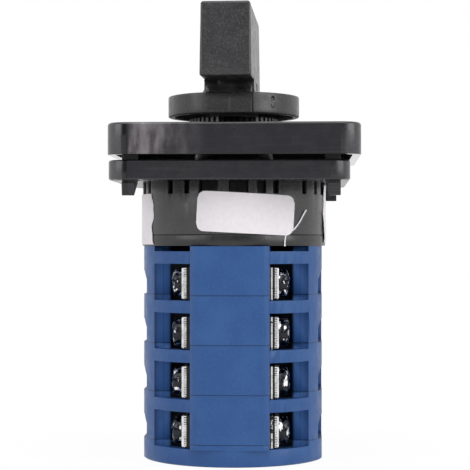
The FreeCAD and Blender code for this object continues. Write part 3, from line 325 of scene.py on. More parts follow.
def blue_finish():
    """Blue moulding: painted shade in lines between the stages and along each pocket wall, pocket walls
    painted lighter, darker far inside the terminal pockets.
    """
    plain, pale, deep = (0.024, 0.081, 0.245), (0.031, 0.096, 0.27), (0.004, 0.007, 0.016)
    material = new_material("blue_plastic", plain, 0.4, specular=0.3)
    paint = Painter(material)
    outer = paint.mix(paint.spread(paint.noise(120, 3), 0.35, 0.7), plain, pale)
    grain = paint.spread(paint.noise(2600, 2), 0.5, 0.75, 0.0, 0.35)
    outer = paint.mix(grain, outer, (0.055, 0.135, 0.34))
    across = paint.combine("ABSOLUTE", paint.axis("X"), 0.0)
    along = paint.combine("ABSOLUTE", paint.axis("Y"), 0.0)
    level = paint.combine("DIVIDE", paint.combine("SUBTRACT", paint.axis("Z"), COVER_TOP * MM),
                          STAGE_PITCH * MM)
    away = paint.combine("MULTIPLY", paint.combine("PINGPONG", level, 0.5), STAGE_PITCH)
    # Painted shade: dark lines where two stages meet
    joint_shade = paint.spread(away, *JOINT_HALF, 0.6, 0.0)
    # Painted light: the pocket walls are painted a lighter blue
    pocket_light = paint.all_of(paint.band(across, *POCKET_ACROSS, 0.0002),
                          paint.band(along, *POCKET_ALONG, 0.0002))
    outer = paint.mix(pocket_light, outer, (0.052, 0.15, 0.43))
    # Painted shade: a dark line along the edge of each pocket wall
    line = paint.all_of(paint.spread(along, *WALL_ALONG, 1.0, 0.0),
                        paint.band(across, WALL_LINE - 0.0001, WALL_LINE + 0.0001, 0.00008))
    line = paint.combine("MULTIPLY", line, 0.6)
    outer = paint.mix(paint.combine("MAXIMUM", joint_shade, line), outer, deep)
    inside = paint.all_of(paint.spread(along, *INSIDE_ALONG, 1.0, 0.0),
                          paint.spread(across, *INSIDE_ACROSS, 1.0, 0.0),
                          paint.spread(across, *BLOCK_SIDE))
    paint.colour(paint.mix(inside, outer, deep))
    paint.roughness(paint.spread(paint.noise(380, 3), 0.3, 0.7, 0.34, 0.48))
    paint.bump(paint.noise(2200, 2), 0.25, 0.00002)
    return material


def screw_finish():
    """Dark polished metal with painted bright glints in its colour."""
    material = new_material("zinc", (0.1, 0.1, 0.11), 0.2, metallic=1.0)
    paint = Painter(material)
    # Painted highlight: bright glint spots painted into the colour
    painted_glints = paint.spread(paint.noise(800, 2, (1.0, 1.0, 0.5)), 0.55, 0.59)
    paint.colour(paint.mix(painted_glints, (0.035, 0.036, 0.042), (1.0, 1.0, 1.0)))
    paint.roughness(paint.spread(painted_glints, 0.0, 1.0, 0.15, 0.42))
    paint.bump(paint.noise(1200, 2), 0.5, 0.00008)
    return material


def contact_finish():
    """Dull plated strips; those on the right have a painted highlight on the edge next to the block."""
    material = new_material("contact_brass", (0.1, 0.1, 0.1), 0.35, metallic=1.0)
    paint = Painter(material)
    # Painted highlight: a bright edge painted on the right strips next to the block
    edge = paint.combine("MULTIPLY", paint.band(paint.axis("X"), *STRIP_HIGHLIGHT, 0.0002),
                         paint.spread(paint.noise(900, 3), 0.36, 0.44))
    paint.colour(paint.mix(edge, (0.035, 0.034, 0.034), (0.95, 0.94, 0.92)))
    paint.roughness(paint.spread(paint.noise(1100, 2), 0.3, 0.7, 0.25, 0.45))
    return material


def metal(name, colour, roughness, brushed=None):
    """Plated metal with uneven polish; brushed gives the stretch of fine grooves."""
    material = new_material(name, colour, roughness, metallic=1.0)
    paint = Painter(material)
    tone = paint.spread(paint.noise(700, 3), 0.3, 0.7)
    paint.colour(paint.mix(tone, colour, tuple(channel * 0.72 for channel in colour)))
    paint.roughness(paint.spread(paint.noise(1100, 2), 0.3, 0.7, roughness * 0.7, roughness * 1.5))
    grooves = paint.noise(1500, 2, brushed) if brushed else paint.noise(1700, 2)
    paint.bump(grooves, 0.5, 0.00006)
    return material


def paper_finish():
    material = new_material("label_paper", (0.72, 0.69, 0.71), 0.55)
    paint = Painter(material)
    fibres = paint.spread(paint.noise(900, 4), 0.3, 0.7)
    paint.colour(paint.mix(fibres, (0.83, 0.795, 0.82), (0.79, 0.755, 0.785)))
    paint.bump(paint.noise(700, 3), 0.2, 0.00003)
    return material


def make_materials():
    return {
        "knob_plastic": knob_finish(),
        "plate_plastic": plate_finish(),
        "housing_plastic": housing_finish("housing_plastic", (0.034, 0.033, 0.034), (0.041, 0.04, 0.04)),
        "base_plastic": housing_finish("base_plastic", (0.012, 0.012, 0.013), (0.017, 0.017, 0.018)),
        "blue_plastic": blue_finish(),
        "inner_plastic": moulded("inner_plastic", (0.55, 0.53, 0.48), (0.6, 0.58, 0.53), 0.5),
        "zinc": screw_finish(),
        "bright_zinc": metal("bright_zinc", (1.0, 1.0, 1.0), 0.35, (1.0, 1.0, 0.4)),
        "steel": metal("steel", (0.6, 0.6, 0.61), 0.3, (1.0, 1.0, 0.05)),
        "spring_steel": metal("spring_steel", (0.5, 0.5, 0.52), 0.28),
        "contact_brass": contact_finish(),
        "label_paper": paper_finish(),
    }


# Mesh helpers

# Faces from this size in square metres are plane and keep their own normal
FLAT_AREA = 40e-6
# Edges that turn by more degrees than this stay sharp
SHARP_ANGLE = 40.0


def piece_from(mesh_data, name, node, material):
    """Turn a finished bmesh in metres into a piece that stands for a node."""
    mesh = bpy.data.meshes.new(name)
    mesh_data.to_mesh(mesh)
    mesh_data.free()
    mesh.shade_smooth()
    mesh.set_sharp_from_angle(angle=math.radians(SHARP_ANGLE))
    for polygon in mesh.polygons:
        polygon.use_smooth = polygon.area < FLAT_AREA
    mesh.materials.append(material)
    piece = bpy.data.objects.new(name, mesh)
    bpy.context.scene.collection.objects.link(piece)
    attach(piece, body_of[node])
    return piece


def rounded_copy(node, width, segments, material, reshape=None):
    """A node's own shape with its sharp edges rounded off, reshaped before where that is asked."""
    shape = bmesh.new()
    shape.from_mesh(frame["nodes"][node].data)
    bmesh.ops.remove_doubles(shape, verts=shape.verts, dist=0.002 * MM)
    bmesh.ops.dissolve_limit(shape, angle_limit=math.radians(0.6), use_dissolve_boundaries=False,
                             verts=shape.verts, edges=shape.edges)
    if reshape:
        reshape(shape)
    corners = [edge for edge in shape.edges
               if len(edge.link_faces) == 2 and edge.calc_face_angle(0.0) > math.radians(32)]
    bmesh.ops.bevel(shape, geom=corners, offset=width * MM, segments=segments, profile=0.5, affect="EDGES",
                    clamp_overlap=True)
    bmesh.ops.remove_doubles(shape, verts=shape.verts, dist=0.002 * MM)
    bmesh.ops.dissolve_degenerate(shape, dist=0.002 * MM, edges=shape.edges)
    piece = piece_from(shape, f"{node}.rounded", node, material)
    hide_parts(node)
    return piece


def inset(corners, width):
    """A convex outline moved inwards by a width."""
    lines = []
    for first, second in zip(corners, corners[1:] + corners[:1]):
        run = np.subtract(second, first)
        normal = np.array((run[1], -run[0])) / np.linalg.norm(run)
        lines.append((normal, normal @ np.array(first) - width))
    moved = []
    for (normal, level), (following, following_level) in zip(lines[-1:] + lines[:-1], lines):
        moved.append(np.linalg.solve(np.array((normal, following)), np.array((level, following_level))))
    return moved


def outline_distance(points, corners):
    """Signed distance of points from a convex outline, negative inside."""
    nearest = np.full(len(points), 1e9)
    inside = np.ones(len(points), bool)
    for first, second in zip(corners, corners[1:] + corners[:1]):
        run = second - first
        offset = points - first
        along = np.clip(offset @ run / (run @ run), 0, 1)
        nearest = np.minimum(nearest, np.linalg.norm(offset - along[:, None] * run, axis=1))
        inside &= run[0] * offset[:, 1] - run[1] * offset[:, 0] >= 0
    return np.where(inside, -nearest, nearest)


def reach(angles, corners, rounding, grow=0.0):
    """How far a rounded outline reaches from the axis, for each angle."""
    directions = np.stack((np.cos(angles), np.sin(angles)), axis=1)
    inner = inset(list(corners), rounding)
    low, high = np.zeros(len(angles)), np.full(len(angles), 60.0)
    for _ in range(36):
        middle = (low + high) / 2
        outside = outline_distance(directions * middle[:, None], inner) > rounding + grow
        high = np.where(outside, middle, high)
        low = np.where(outside, low, middle)
    return (low + high) / 2


def smooth(value):
    clipped = np.clip(value, 0, 1)
    return clipped * clipped * (3 - 2 * clipped)


def lofted(rings):
    """Closed skin through rings of points; the last ring joins the first."""
    shape = bmesh.new()
    rows = [[shape.verts.new(Vector(point) * MM) for point in ring] for ring in rings]
    for row, following in zip(rows, rows[1:] + rows[:1]):
        for index in range(len(row)):
            after = (index + 1) % len(row)
            shape.faces.new((row[index], row[after], following[after], following[index]))
    bmesh.ops.remove_doubles(shape, verts=shape.verts, dist=0.003 * MM)
    bmesh.ops.dissolve_degenerate(shape, dist=0.002 * MM, edges=shape.edges)
    bmesh.ops.recalc_face_normals(shape, faces=shape.faces)
    return shape


# Knob

GRIP_FRONT, GRIP_REAR = 26.0, 12.4
GRIP_FRONT_HALF, GRIP_REAR_HALF = 6.7, 6.3
GRIP_DRAFT = 0.9
GRIP_ROUND = 0.8
TOP_DROP = 0.9
NECK_FLARE = 1.1
NECK_FRONT = 14.8
NOSE_LOW = DISC_TOP + 3.3
DISC_RADIUS, DISC_FLAT, DISC_EDGE = 17.6, 16.5, 0.35
HUB_LOW, HUB_RADIUS = 87.9, 6.6
HOLLOW_TOP, HOLLOW_RADIUS = 94.0, 16.0
SOCKET_HALF, SOCKET_TOP = 3.15, 106.8
BORE_RADIUS, SEAT_RADIUS, SEAT_LEVEL = 2.1, 3.6, 114.8
KNOB_PLAY = 2.2
MARK_ANGLE = 40.4
MARKS = ({"level": 94.75, "radius": 0.62, "depth": 0.4}, {"level": 93.1, "radius": 0.75, "depth": -0.12})
SCOOP_DEPTH, SCOOP_HALF, SCOOP_SHIFT = 1.5, 5.5, -0.5
POINTER_SOFT_LEFT, POINTER_SOFT_RIGHT = 0.8, 0.03
LINE_PLACE, LINE_WIDTH, LINE_DEPTH = 6.3, 0.14, 0.35
SWELL_LOW, SWELL_HIGH, SWELL_HALF = DISC_TOP - 1.8, DISC_TOP + 2.6, 6.4
NOSE_ROUND = 0.45
# Levels of the knob's rings: first, last and step on the rim, heights over the disc, and up the grip
RIM_LEVELS = (92.0, 95.61, 0.2)
NECK_HEIGHTS = (0.0, 0.06, 0.15, 0.3, 0.5, 0.75, 1.05, 1.4, 1.8, 2.2, 2.6, 2.9)
GRIP_LEVELS = (102.0, 104.5, 107.0, 109.5, 112.0, 114.0, 116.0)


def knob_angles():
    """Angles of the knob's columns, closer together at its corners, the gate mark and the groove."""
    degrees = list(np.arange(0, 360, 1.5))
    for middle in (90, 270):
        for side in (-1, 1):
            degrees += [middle + side * step for step in np.arange(10.5, 28.5, 0.5)]
    degrees += list(270 + MARK_ANGLE + np.arange(-3, 3.1, 0.4))
    degrees += list(270 + np.arange(19.6, 24.6, 0.2))
    return np.radians(sorted({round(value % 360, 2) for value in degrees}))


def knob_rings():
    angles = knob_angles()
    across, along = np.cos(angles), np.sin(angles)
    taper = (GRIP_FRONT_HALF - GRIP_REAR_HALF) / (GRIP_FRONT + GRIP_REAR)
    neck_half = GRIP_FRONT_HALF - (GRIP_FRONT - NECK_FRONT) * taper
    grip = ((-GRIP_FRONT_HALF, -GRIP_FRONT), (GRIP_FRONT_HALF, -GRIP_FRONT), (GRIP_REAR_HALF, GRIP_REAR),
            (-GRIP_REAR_HALF, GRIP_REAR))
    neck = ((-neck_half, -NECK_FRONT), (neck_half, -NECK_FRONT), *grip[2:])
    slope = TOP_DROP / (GRIP_FRONT + GRIP_REAR + 2.0)

    def ring(radii, level):
        levels = np.broadcast_to(level, angles.shape)
        return [(radius * x, radius * y, z) for radius, x, y, z in zip(radii, across, along, levels)]

    def circle(radius, level):
        return ring(np.full(len(angles), radius), level)

    def square(half, level):
        return ring(half / np.maximum(abs(across), abs(along)), level)

    def lined(radii):
        """A narrow groove down the pointer's right edge."""
        away = (radii * across - LINE_PLACE) / LINE_WIDTH
        return radii - LINE_DEPTH * np.exp(-away ** 2) * (along < 0)

    def disc(grow):
        """The disc's outline: a circle with a flat in front that has a soft left and a sharp right end."""
        radius = DISC_RADIUS + grow
        flat = np.where(along < -0.3, (DISC_FLAT + grow) / np.maximum(-along, 0.3), 1e3)
        softness = np.where(across < 0, POINTER_SOFT_LEFT, POINTER_SOFT_RIGHT)
        return radius - softness * np.log1p(np.exp(np.clip((radius - flat) / softness, -60, 60)))

    def swollen(radii, level, base=None):
        """The front between neck and disc: one smooth curve that is scooped out under the nose."""
        rise = smooth((level - SWELL_LOW) / (SWELL_HIGH - SWELL_LOW))
        depth = DISC_FLAT + (NECK_FRONT - DISC_FLAT) * rise
        steep = np.where(along < -0.3, -along, 1.0)
        x = depth * across / steep
        share = smooth((SWELL_HALF - abs(x)) / np.where(x < 0, 2.0, 0.7)) * (along < -0.3)
        scoop = SCOOP_DEPTH * np.sin(math.pi * np.clip((x - SCOOP_SHIFT) / SCOOP_HALF, -1, 1)) ** 2
        depth = depth - scoop * smooth((level - DISC_TOP + 0.6) / 2.2)
        if base:
            return radii + share * (depth - base) / steep
        return radii + share * (depth / steep - radii)

    def grip_reach(level, grow=0.0, outline=grip):
        draft = math.tan(math.radians(GRIP_DRAFT)) * (level - DISC_TOP)
        return reach(angles, outline, GRIP_ROUND, grow - draft)

    def top_level(radii):
        return KNOB_TOP - slope * (radii * along + GRIP_FRONT + 1.0)

    def marked(level):
        """The disc's rim with the gate mark pressed into it and the small pip below."""
        aside = np.radians(np.degrees(angles) - (270 + MARK_ANGLE)) * DISC_RADIUS
        radii = swollen(disc(0.0), level, DISC_FLAT)
        for mark in MARKS:
            distance = np.sqrt(aside ** 2 + (level - mark["level"]) ** 2)
            radii = radii - mark["depth"] * smooth((mark["radius"] - distance) / 0.3)
        return lined(radii)

    def neck_reach(level):
        """The neck's skin: it flares into the disc at its sides and into the pointer in front."""
        left = max(0.0, NECK_FLARE - (level - DISC_TOP))
        flare = NECK_FLARE - math.sqrt(NECK_FLARE ** 2 - left ** 2)
        radii = np.minimum(grip_reach(level, flare, neck), disc(-DISC_EDGE))
        return lined(swollen(radii, level))

    rings = [square(SOCKET_HALF, HUB_LOW), circle(HUB_RADIUS - 0.3, HUB_LOW),
             circle(HUB_RADIUS, HUB_LOW + 0.3), circle(HUB_RADIUS, HOLLOW_TOP - 0.3),
             circle(HUB_RADIUS + 0.3, HOLLOW_TOP),
             circle(HOLLOW_RADIUS - 0.3, HOLLOW_TOP), circle(HOLLOW_RADIUS, HOLLOW_TOP - 0.3),
             circle(HOLLOW_RADIUS, DISC_LOW + 0.2), circle(HOLLOW_RADIUS + 0.2, DISC_LOW)]
    for step in range(4):
        turn = math.radians(30 * step)
        outline = lined(disc(DISC_EDGE * (math.sin(turn) - 1)))
        rings.append(ring(outline, DISC_LOW + DISC_EDGE * (1 - math.cos(turn))))
    rings += [ring(marked(level), level) for level in np.arange(*RIM_LEVELS)]
    for step in range(4):
        turn = math.radians(30 * step)
        level = DISC_TOP - DISC_EDGE * (1 - math.sin(turn))
        outline = disc(DISC_EDGE * (math.cos(turn) - 1))
        rings.append(ring(lined(swollen(outline, level, DISC_FLAT)), level))
    rings += [ring(neck_reach(DISC_TOP + height), DISC_TOP + height) for height in NECK_HEIGHTS]
    under = neck_reach(NOSE_LOW - 0.4)
    for grow, rise in ((0.12, 0.09), (0.4, 0.4)):
        wider = under + grow * smooth((-under * along - 12.5) / 2.0)
        rings.append(ring(np.minimum(wider, grip_reach(NOSE_LOW)), NOSE_LOW - 0.4 + rise))
    for step in range(4):
        turn = math.radians(30 * step)
        grown = grip_reach(NOSE_LOW, NOSE_ROUND * (math.sin(turn) - 1))
        level = NOSE_LOW + NOSE_ROUND * (1 - math.cos(turn))
        rings.append(ring(np.maximum(grown, grip_reach(level, 0.0, neck)), level))
    rings += [ring(grip_reach(level), level) for level in GRIP_LEVELS]
    for step in range(6):
        turn = math.radians(18 * step)
        radii = grip_reach(KNOB_TOP, GRIP_ROUND * (math.cos(turn) - 1))
        rings.append(ring(radii, top_level(radii) - GRIP_ROUND * (1 - math.sin(turn))))
    lip = np.full(len(angles), SEAT_RADIUS + 0.2)
    rings.append(ring(lip, top_level(lip)))
    rings.append(ring(lip - 0.2, top_level(lip) - 0.2))
    rings += [circle(SEAT_RADIUS, SEAT_LEVEL), circle(BORE_RADIUS, SEAT_LEVEL),
              circle(BORE_RADIUS, SOCKET_TOP), square(SOCKET_HALF, SOCKET_TOP)]
    return rings


def make_knob(material):
    shape = lofted(knob_rings())
    shape.transform(Matrix.Rotation(math.radians(-KNOB_PLAY), 4, "Z"))
    piece = piece_from(shape, "knob.moulded", "knob", material)
    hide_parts("knob")


# Terminals

WASHER_SIDE, WASHER_HOLE = 7.9, 2.0
WASHER_THICKNESS = {-1: 1.2, 1: 1.0}
TOOTH_DEPTH, TOOTH_REACH, TEETH_PER_SIDE = 0.45, 0.6, 13
SCREW_LEVEL, HEAD_RADIUS, HEAD_DOME = 3.05, 3.5, 0.9
SCREW_LEVELS = [COVER_TOP + SCREW_LEVEL + STAGE_PITCH * number for number in range(len(STAGES))]


def washer_rings(outer_face, thickness):
    """Rings of a square washer whose rim is toothed next to the contact strip."""
    half = WASHER_SIDE / 2
    steps = 2 * TEETH_PER_SIDE
    points, depths = [], []
    for quarter in range(4):
        turn = np.linalg.matrix_power(np.array(((0, -1), (1, 0)), float), quarter)
        for step in range(2 * steps):
            place = -half + WASHER_SIDE * (step // 2 + step % 2 * 0.98) / steps
            points.append(turn @ np.array((half, place)))
            depths.append(TOOTH_DEPTH if step // 2 % 2 else 0.0)
    points, depths = np.array(points), np.array(depths)[:, None]
    shrink = points / half
    toothed = points - shrink * depths
    hole = points / np.linalg.norm(points, axis=1)[:, None] * WASHER_HOLE
    rows = ((hole, thickness), (toothed, thickness), (toothed, thickness - TOOTH_REACH),
            (points, thickness - TOOTH_REACH), (points, 0.2), (points - shrink * 0.2, 0.0), (hole, 0.0))
    return [[(outer_face - x, y, z) for y, z in row] for row, x in rows]


def make_washers(material):
    """All sixteen washers as one piece."""
    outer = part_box("clamp_washers")[1]
    depth = outer[1] / MM - WASHER_SIDE / 2
    rings = {side: washer_rings(outer[0] / MM, thickness) for side, thickness in WASHER_THICKNESS.items()}
    whole = bmesh.new()
    for level in SCREW_LEVELS:
        for sx, sy in ((-1, -1), (1, -1), (1, 1), (-1, 1)):
            one = lofted([[(sx * x, sy * depth + y, level + z) for x, y, z in ring] for ring in rings[sx]])
            mesh = bpy.data.meshes.new("washer")
            one.to_mesh(mesh)
            one.free()
            whole.from_mesh(mesh)
            bpy.data.meshes.remove(mesh)
    piece = piece_from(whole, "clamp_washers.toothed", "clamp_washers", material)
    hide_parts("clamp_washers")


def domed(shape):
    """Cut the screw heads' outer faces finer and lower them towards the rims, so that they are domed."""
    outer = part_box("terminal_screws")[1]
    face, depth = outer[0] / MM, outer[1] / MM - HEAD_RADIUS
    offsets = np.linspace(-HEAD_RADIUS, HEAD_RADIUS, 11)[1:-1]
    cuts = [((0, side * depth + offset, 0), (0, 1, 0)) for side in (-1, 1) for offset in offsets]
    cuts += [((0, 0, level + offset), (0, 0, 1)) for level in SCREW_LEVELS for offset in offsets]
    for place, normal in cuts:
        everything = shape.verts[:] + shape.edges[:] + shape.faces[:]
        bmesh.ops.bisect_plane(shape, geom=everything, plane_co=Vector(place) * MM, plane_no=normal)
    for vertex in shape.verts:
        x, y, z = (value / MM for value in vertex.co)
        if abs(x) > face - 0.01:
            level = (z - COVER_TOP + 1) % STAGE_PITCH - 1 - SCREW_LEVEL
            away = math.hypot(abs(y) - depth, level) / HEAD_RADIUS
            vertex.co.x -= math.copysign(HEAD_DOME * min(away, 1.0) ** 2 * MM, x)


# Stickers

STICKER_THICKNESS = 0.1
STICKER_GAP = 0.02
FRONT_WIDTH, FRONT_HEIGHT, FRONT_CORNER, FRONT_TILT = 24.8, 10.3, 2.0, 3.0
FRONT_PLACE, FRONT_LEVEL = 4.0, 64.7
# How the front sticker's right end comes off the housing: height, start and run
FRONT_LIFTS = ((0.14, 0.45, 0.3), (0.08, 0.86, 0.14))


def sheet_between(rows):
    """A thin closed sheet from rows of (inner, outer) point pairs."""
    shape = bmesh.new()
    inner = [[shape.verts.new(Vector(pair[0]) * MM) for pair in row] for row in rows]
    outer = [[shape.verts.new(Vector(pair[1]) * MM) for pair in row] for row in rows]
    count, length = len(rows), len(rows[0])
    for i in range(count - 1):
        for j in range(length - 1):
            shape.faces.new((outer[i][j], outer[i][j + 1], outer[i + 1][j + 1], outer[i + 1][j]))
            shape.faces.new((inner[i][j], inner[i + 1][j], inner[i + 1][j + 1], inner[i][j + 1]))
    rim = [(0, j) for j in range(length - 1)] + [(i, length - 1) for i in range(count - 1)]
    rim += [(count - 1, j) for j in range(length - 1, 0, -1)] + [(i, 0) for i in range(count - 1, 0, -1)]
    for (i, j), (k, m) in zip(rim, rim[1:] + rim[:1]):
        shape.faces.new((inner[i][j], inner[k][m], outer[k][m], outer[i][j]))
    bmesh.ops.remove_doubles(shape, verts=shape.verts, dist=0.002 * MM)
    bmesh.ops.recalc_face_normals(shape, faces=shape.faces)
    return shape


def make_front_sticker(material):
    """Bare rounded sticker, a little crooked, wrapped on the housing."""
    tilt = math.radians(FRONT_TILT)
    rows = []
    for u in np.linspace(-1, 1, 61):
        x = u * FRONT_WIDTH / 2
        from_end = FRONT_WIDTH / 2 - abs(x)
        cut = FRONT_CORNER - math.sqrt(max(0.0, FRONT_CORNER ** 2 - max(0.0, FRONT_CORNER - from_end) ** 2))
        half = FRONT_HEIGHT / 2 - cut
        row = []
        for v in np.linspace(-1, 1, 13):
            z = v * half
            place = FRONT_PLACE + x * math.cos(tilt) + z * math.sin(tilt)
            level = FRONT_LEVEL - x * math.sin(tilt) + z * math.cos(tilt)
            lift = sum(height * smooth(np.float64(u - start) / run) for height, start, run in FRONT_LIFTS)
            pair = []
            under = HOUSING_RADIUS + STICKER_GAP + lift
            for radius in (under, under + STICKER_THICKNESS):
                pair.append((place, -math.sqrt(radius ** 2 - place ** 2), level))
            row.append(pair)
        rows.append(row)
    piece = piece_from(sheet_between(rows), "front_label.sheet", "front_label", material)
    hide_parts("front_label")


STRAND_WIDTH, STRAND_THICKNESS = 0.38, 0.06
# Control points of the strand's line: degrees from the front, level and distance off the housing
STRAND_LINE = (
    (53.0, 66.5, 0.6), (49.5, 64.8, 0.3), (46.0, 62.4, 0.1), (41.0, 60.3, 0.03),
    (36.0, 59.6, 0.03), (34.8, 58.4, 0.08), (34.5, 56.8, 0.12), (34.6, 55.2, 0.2),
)


def make_strand(material):
    """Thin strand of the sticker's paper that runs out from under its lower right corner."""
    control = np.array(STRAND_LINE)
    line = []
    for first, middle, last in zip(control, control[1:], control[2:]):
        for share in np.linspace(0, 1, 6, endpoint=False):
            start, end = (1 - share) ** 2 / 2, share ** 2 / 2
            line.append(start * first + (1 - start - end) * middle + end * last)
    line = np.array(line)
    along = np.gradient(line, axis=0)
    rows = []
    for (degrees, level, away), (turning, rising, _) in zip(line, along):
        run = np.array((math.radians(turning) * HOUSING_RADIUS, rising))
        across = np.array((-run[1], run[0])) / np.linalg.norm(run) * STRAND_WIDTH / 2
        row = []
        for side in (-1, 0, 1):
            angle = math.radians(degrees) + side * across[0] / HOUSING_RADIUS
            place = level + side * across[1]
            pair = []
            for radius in (HOUSING_RADIUS + away, HOUSING_RADIUS + away + STRAND_THICKNESS):
                pair.append((radius * math.sin(angle), -radius * math.cos(angle), place))
            row.append(pair)
        rows.append(row)
    piece_from(sheet_between(rows), "label_strand", "front_label", material)


SIDE_STICKERS = {
    "left_label": {"side": -1, "start": 56.3, "span": 62.0, "low": 56.7, "high": 70.0, "lift": 0.1},
    "right_label": {"side": 1, "start": 76.2, "span": 62.0, "low": 57.3, "high": 72.3, "lift": 0.35},
}


def make_side_sticker(node, material, side, start, span, low, high, lift):
    """Bare sticker on one side; its front edge is slightly wavy and stands off."""
    rows = []
    for u in np.linspace(0, 1, 41):
        row = []
        for v in np.linspace(0, 1, 15):
            ragged = (1 - u) * (1.2 * math.sin(v * 9.0 + side) + 0.6 * math.sin(v * 21.0))
            angle = math.radians(start + u * span + ragged)
            away = STICKER_GAP + lift * (1 - smooth(np.float64(u) / 0.3)) * (0.5 + 0.5 * math.sin(v * 7.0))
            level = low + (high - low) * v
            pair = []
            for radius in (HOUSING_RADIUS + away, HOUSING_RADIUS + away + STICKER_THICKNESS):
                pair.append((side * radius * math.sin(angle), -radius * math.cos(angle), level))
            row.append(pair)
        rows.append(row)
    piece = piece_from(sheet_between(rows), f"{node}.sheet", node, material)
    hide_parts(node)


# Surroundings

FLOOR_HALF, FLOOR_LEVEL = 6.0, -0.00002
SHADOW_NEAR, SHADOW_FAR = 0.03, 0.1
WHITE_NEAR = 0.96


def make_floor():
    """White floor that looks plain white to the camera and keeps a soft shadow."""
    mesh = bpy.data.meshes.new("floor")
    corners = [(sx * FLOOR_HALF, sy * FLOOR_HALF, 0) for sx, sy in ((-1, -1), (1, -1), (1, 1), (-1, 1))]
    mesh.from_pydata(corners, [], [(0, 1, 2, 3)])
    floor = bpy.data.objects.new("floor", mesh)
    floor.location.z = FLOOR_LEVEL
    bpy.context.scene.collection.objects.link(floor)
    material = bpy.data.materials.new("floor_white")
    material.use_nodes = True
    tree = material.node_tree
    shader = tree.nodes["Principled BSDF"]
    shader.inputs["Base Color"].default_value = (0.9, 0.9, 0.9, 1)
    shader.inputs["Roughness"].default_value = 0.9
    shader.inputs["Specular IOR Level"].default_value = 0.0
    path = tree.nodes.new("ShaderNodeLightPath")
    glow = tree.nodes.new("ShaderNodeEmission")
    glow.inputs["Color"].default_value = (1, 1, 1, 1)
    place = tree.nodes.new("ShaderNodeTexCoord")
    distance = tree.nodes.new("ShaderNodeVectorMath")
    distance.operation = "LENGTH"
    tree.links.new(place.outputs["Object"], distance.inputs[0])
    clean = tree.nodes.new("ShaderNodeMapRange")
    for socket, number in (("From Min", SHADOW_NEAR), ("From Max", SHADOW_FAR),
                           ("To Min", WHITE_NEAR), ("To Max", 1.0)):
        clean.inputs[socket].default_value = number
    tree.links.new(distance.outputs["Value"], clean.inputs["Value"])
    seen = tree.nodes.new("ShaderNodeMath")
    seen.operation = "MAXIMUM"
    tree.links.new(path.outputs["Is Camera Ray"], seen.inputs[0])
    tree.links.new(path.outputs["Is Glossy Ray"], seen.inputs[1])
    share = tree.nodes.new("ShaderNodeMath")
    share.operation = "MULTIPLY"
    tree.links.new(seen.outputs["Value"], share.inputs[0])
    tree.links.new(clean.outputs["Result"], share.inputs[1])
    blend = tree.nodes.new("ShaderNodeMixShader")
    tree.links.new(share.outputs["Value"], blend.inputs["Fac"])
    tree.links.new(shader.outputs["BSDF"], blend.inputs[1])
    tree.links.new(glow.outputs["Emission"], blend.inputs[2])
    tree.links.new(blend.outputs["Shader"], tree.nodes["Material Output"].inputs["Surface"])
    mesh.materials.append(material)


WORLD_LIGHT = 0.4
SHINE_FRONT, SHINE_AROUND = 0.35, 1.0
SHINE_TURN = (-0.95, -0.25)


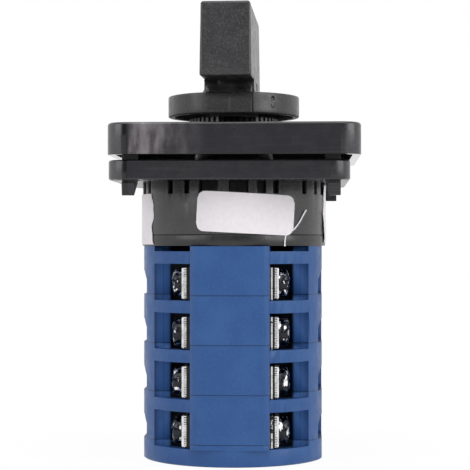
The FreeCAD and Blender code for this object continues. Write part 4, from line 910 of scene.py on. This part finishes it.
def make_world():
    """White surroundings: pure white to the camera, dimmer as a light, and darker in front in gloss."""
    world = bpy.data.worlds.new("surroundings")
    world.use_nodes = True
    bpy.context.scene.world = world
    tree = world.node_tree
    background = tree.nodes["Background"]
    background.inputs["Color"].default_value = (1, 1, 1, 1)
    path = tree.nodes.new("ShaderNodeLightPath")

    def pick(condition, yes, no):
        node = tree.nodes.new("ShaderNodeMix")
        node.data_type = "FLOAT"
        tree.links.new(path.outputs[condition], node.inputs["Factor"])
        for socket, value in ((node.inputs["A"], no), (node.inputs["B"], yes)):
            if isinstance(value, float):
                socket.default_value = value
            else:
                tree.links.new(value, socket)
        return node.outputs["Result"]

    place = tree.nodes.new("ShaderNodeTexCoord")
    axes = tree.nodes.new("ShaderNodeSeparateXYZ")
    tree.links.new(place.outputs["Generated"], axes.inputs["Vector"])
    shine = tree.nodes.new("ShaderNodeMapRange")
    shine.interpolation_type = "SMOOTHSTEP"
    for socket, number in (("From Min", SHINE_TURN[0]), ("From Max", SHINE_TURN[1]),
                           ("To Min", SHINE_FRONT), ("To Max", SHINE_AROUND)):
        shine.inputs[socket].default_value = number
    tree.links.new(axes.outputs["Y"], shine.inputs["Value"])
    strength = pick("Is Glossy Ray", shine.outputs["Result"], WORLD_LIGHT)
    strength = pick("Is Transmission Ray", 1.0, strength)
    strength = pick("Is Camera Ray", 1.0, strength)
    tree.links.new(strength, background.inputs["Strength"])


LAMPS = {
    "left_softbox": {"at": (-0.55, -0.45, 0.35), "side": 0.5, "watts": 1.7},
    "right_softbox": {"at": (0.6, -0.35, 0.3), "side": 0.5, "watts": 2.5},
    "top_softbox": {"at": (0.0, -0.25, 0.75), "side": 0.6, "watts": 2.4},
}
LAMP_AIM = (0, 0, 0.06)


def make_lamps():
    for name, lamp in LAMPS.items():
        data = bpy.data.lights.new(name, "AREA")
        data.size = lamp["side"]
        data.energy = lamp["watts"]
        softbox = bpy.data.objects.new(name, data)
        bpy.context.scene.collection.objects.link(softbox)
        softbox.location = lamp["at"]
        aim = Vector(LAMP_AIM) - softbox.location
        softbox.rotation_euler = aim.to_track_quat("-Z", "Y").to_euler()


# Assembly

ROUNDINGS = {
    "escutcheon": (0.25, 2), "mounting_plate": (0.3, 2), "detent_housing": (0.15, 2),
    "detent_base": (0.25, 2), "end_cover": (0.2, 2), "fixed_contacts": (0.12, 1),
    **{f"contact_stage_{number}": (0.2, 2) for number in STAGES},
}

# Nodes whose finish differs from their slot's usual one
FINISH_OF = {"detent_base": "base_plastic", "clamp_washers": "bright_zinc"}

make_camera()
finishes = make_materials()
for node, (width, segments) in ROUNDINGS.items():
    rounded_copy(node, width, segments, finishes[FINISH_OF.get(node, slot_of[node])])
rounded_copy("terminal_screws", 0.4, 3, finishes["zinc"], domed)
make_washers(finishes["bright_zinc"])
make_knob(finishes["knob_plastic"])
make_front_sticker(finishes["label_paper"])
make_strand(finishes["label_paper"])
for node, values in SIDE_STICKERS.items():
    make_side_sticker(node, finishes["label_paper"], **values)
for name, solid in frame["nodes"].items():
    solid.material_slots[0].material = finishes[FINISH_OF.get(name, slot_of[name])]
make_floor()
make_world()
make_lamps()
bpy.context.scene.view_settings.view_transform = "Standard"
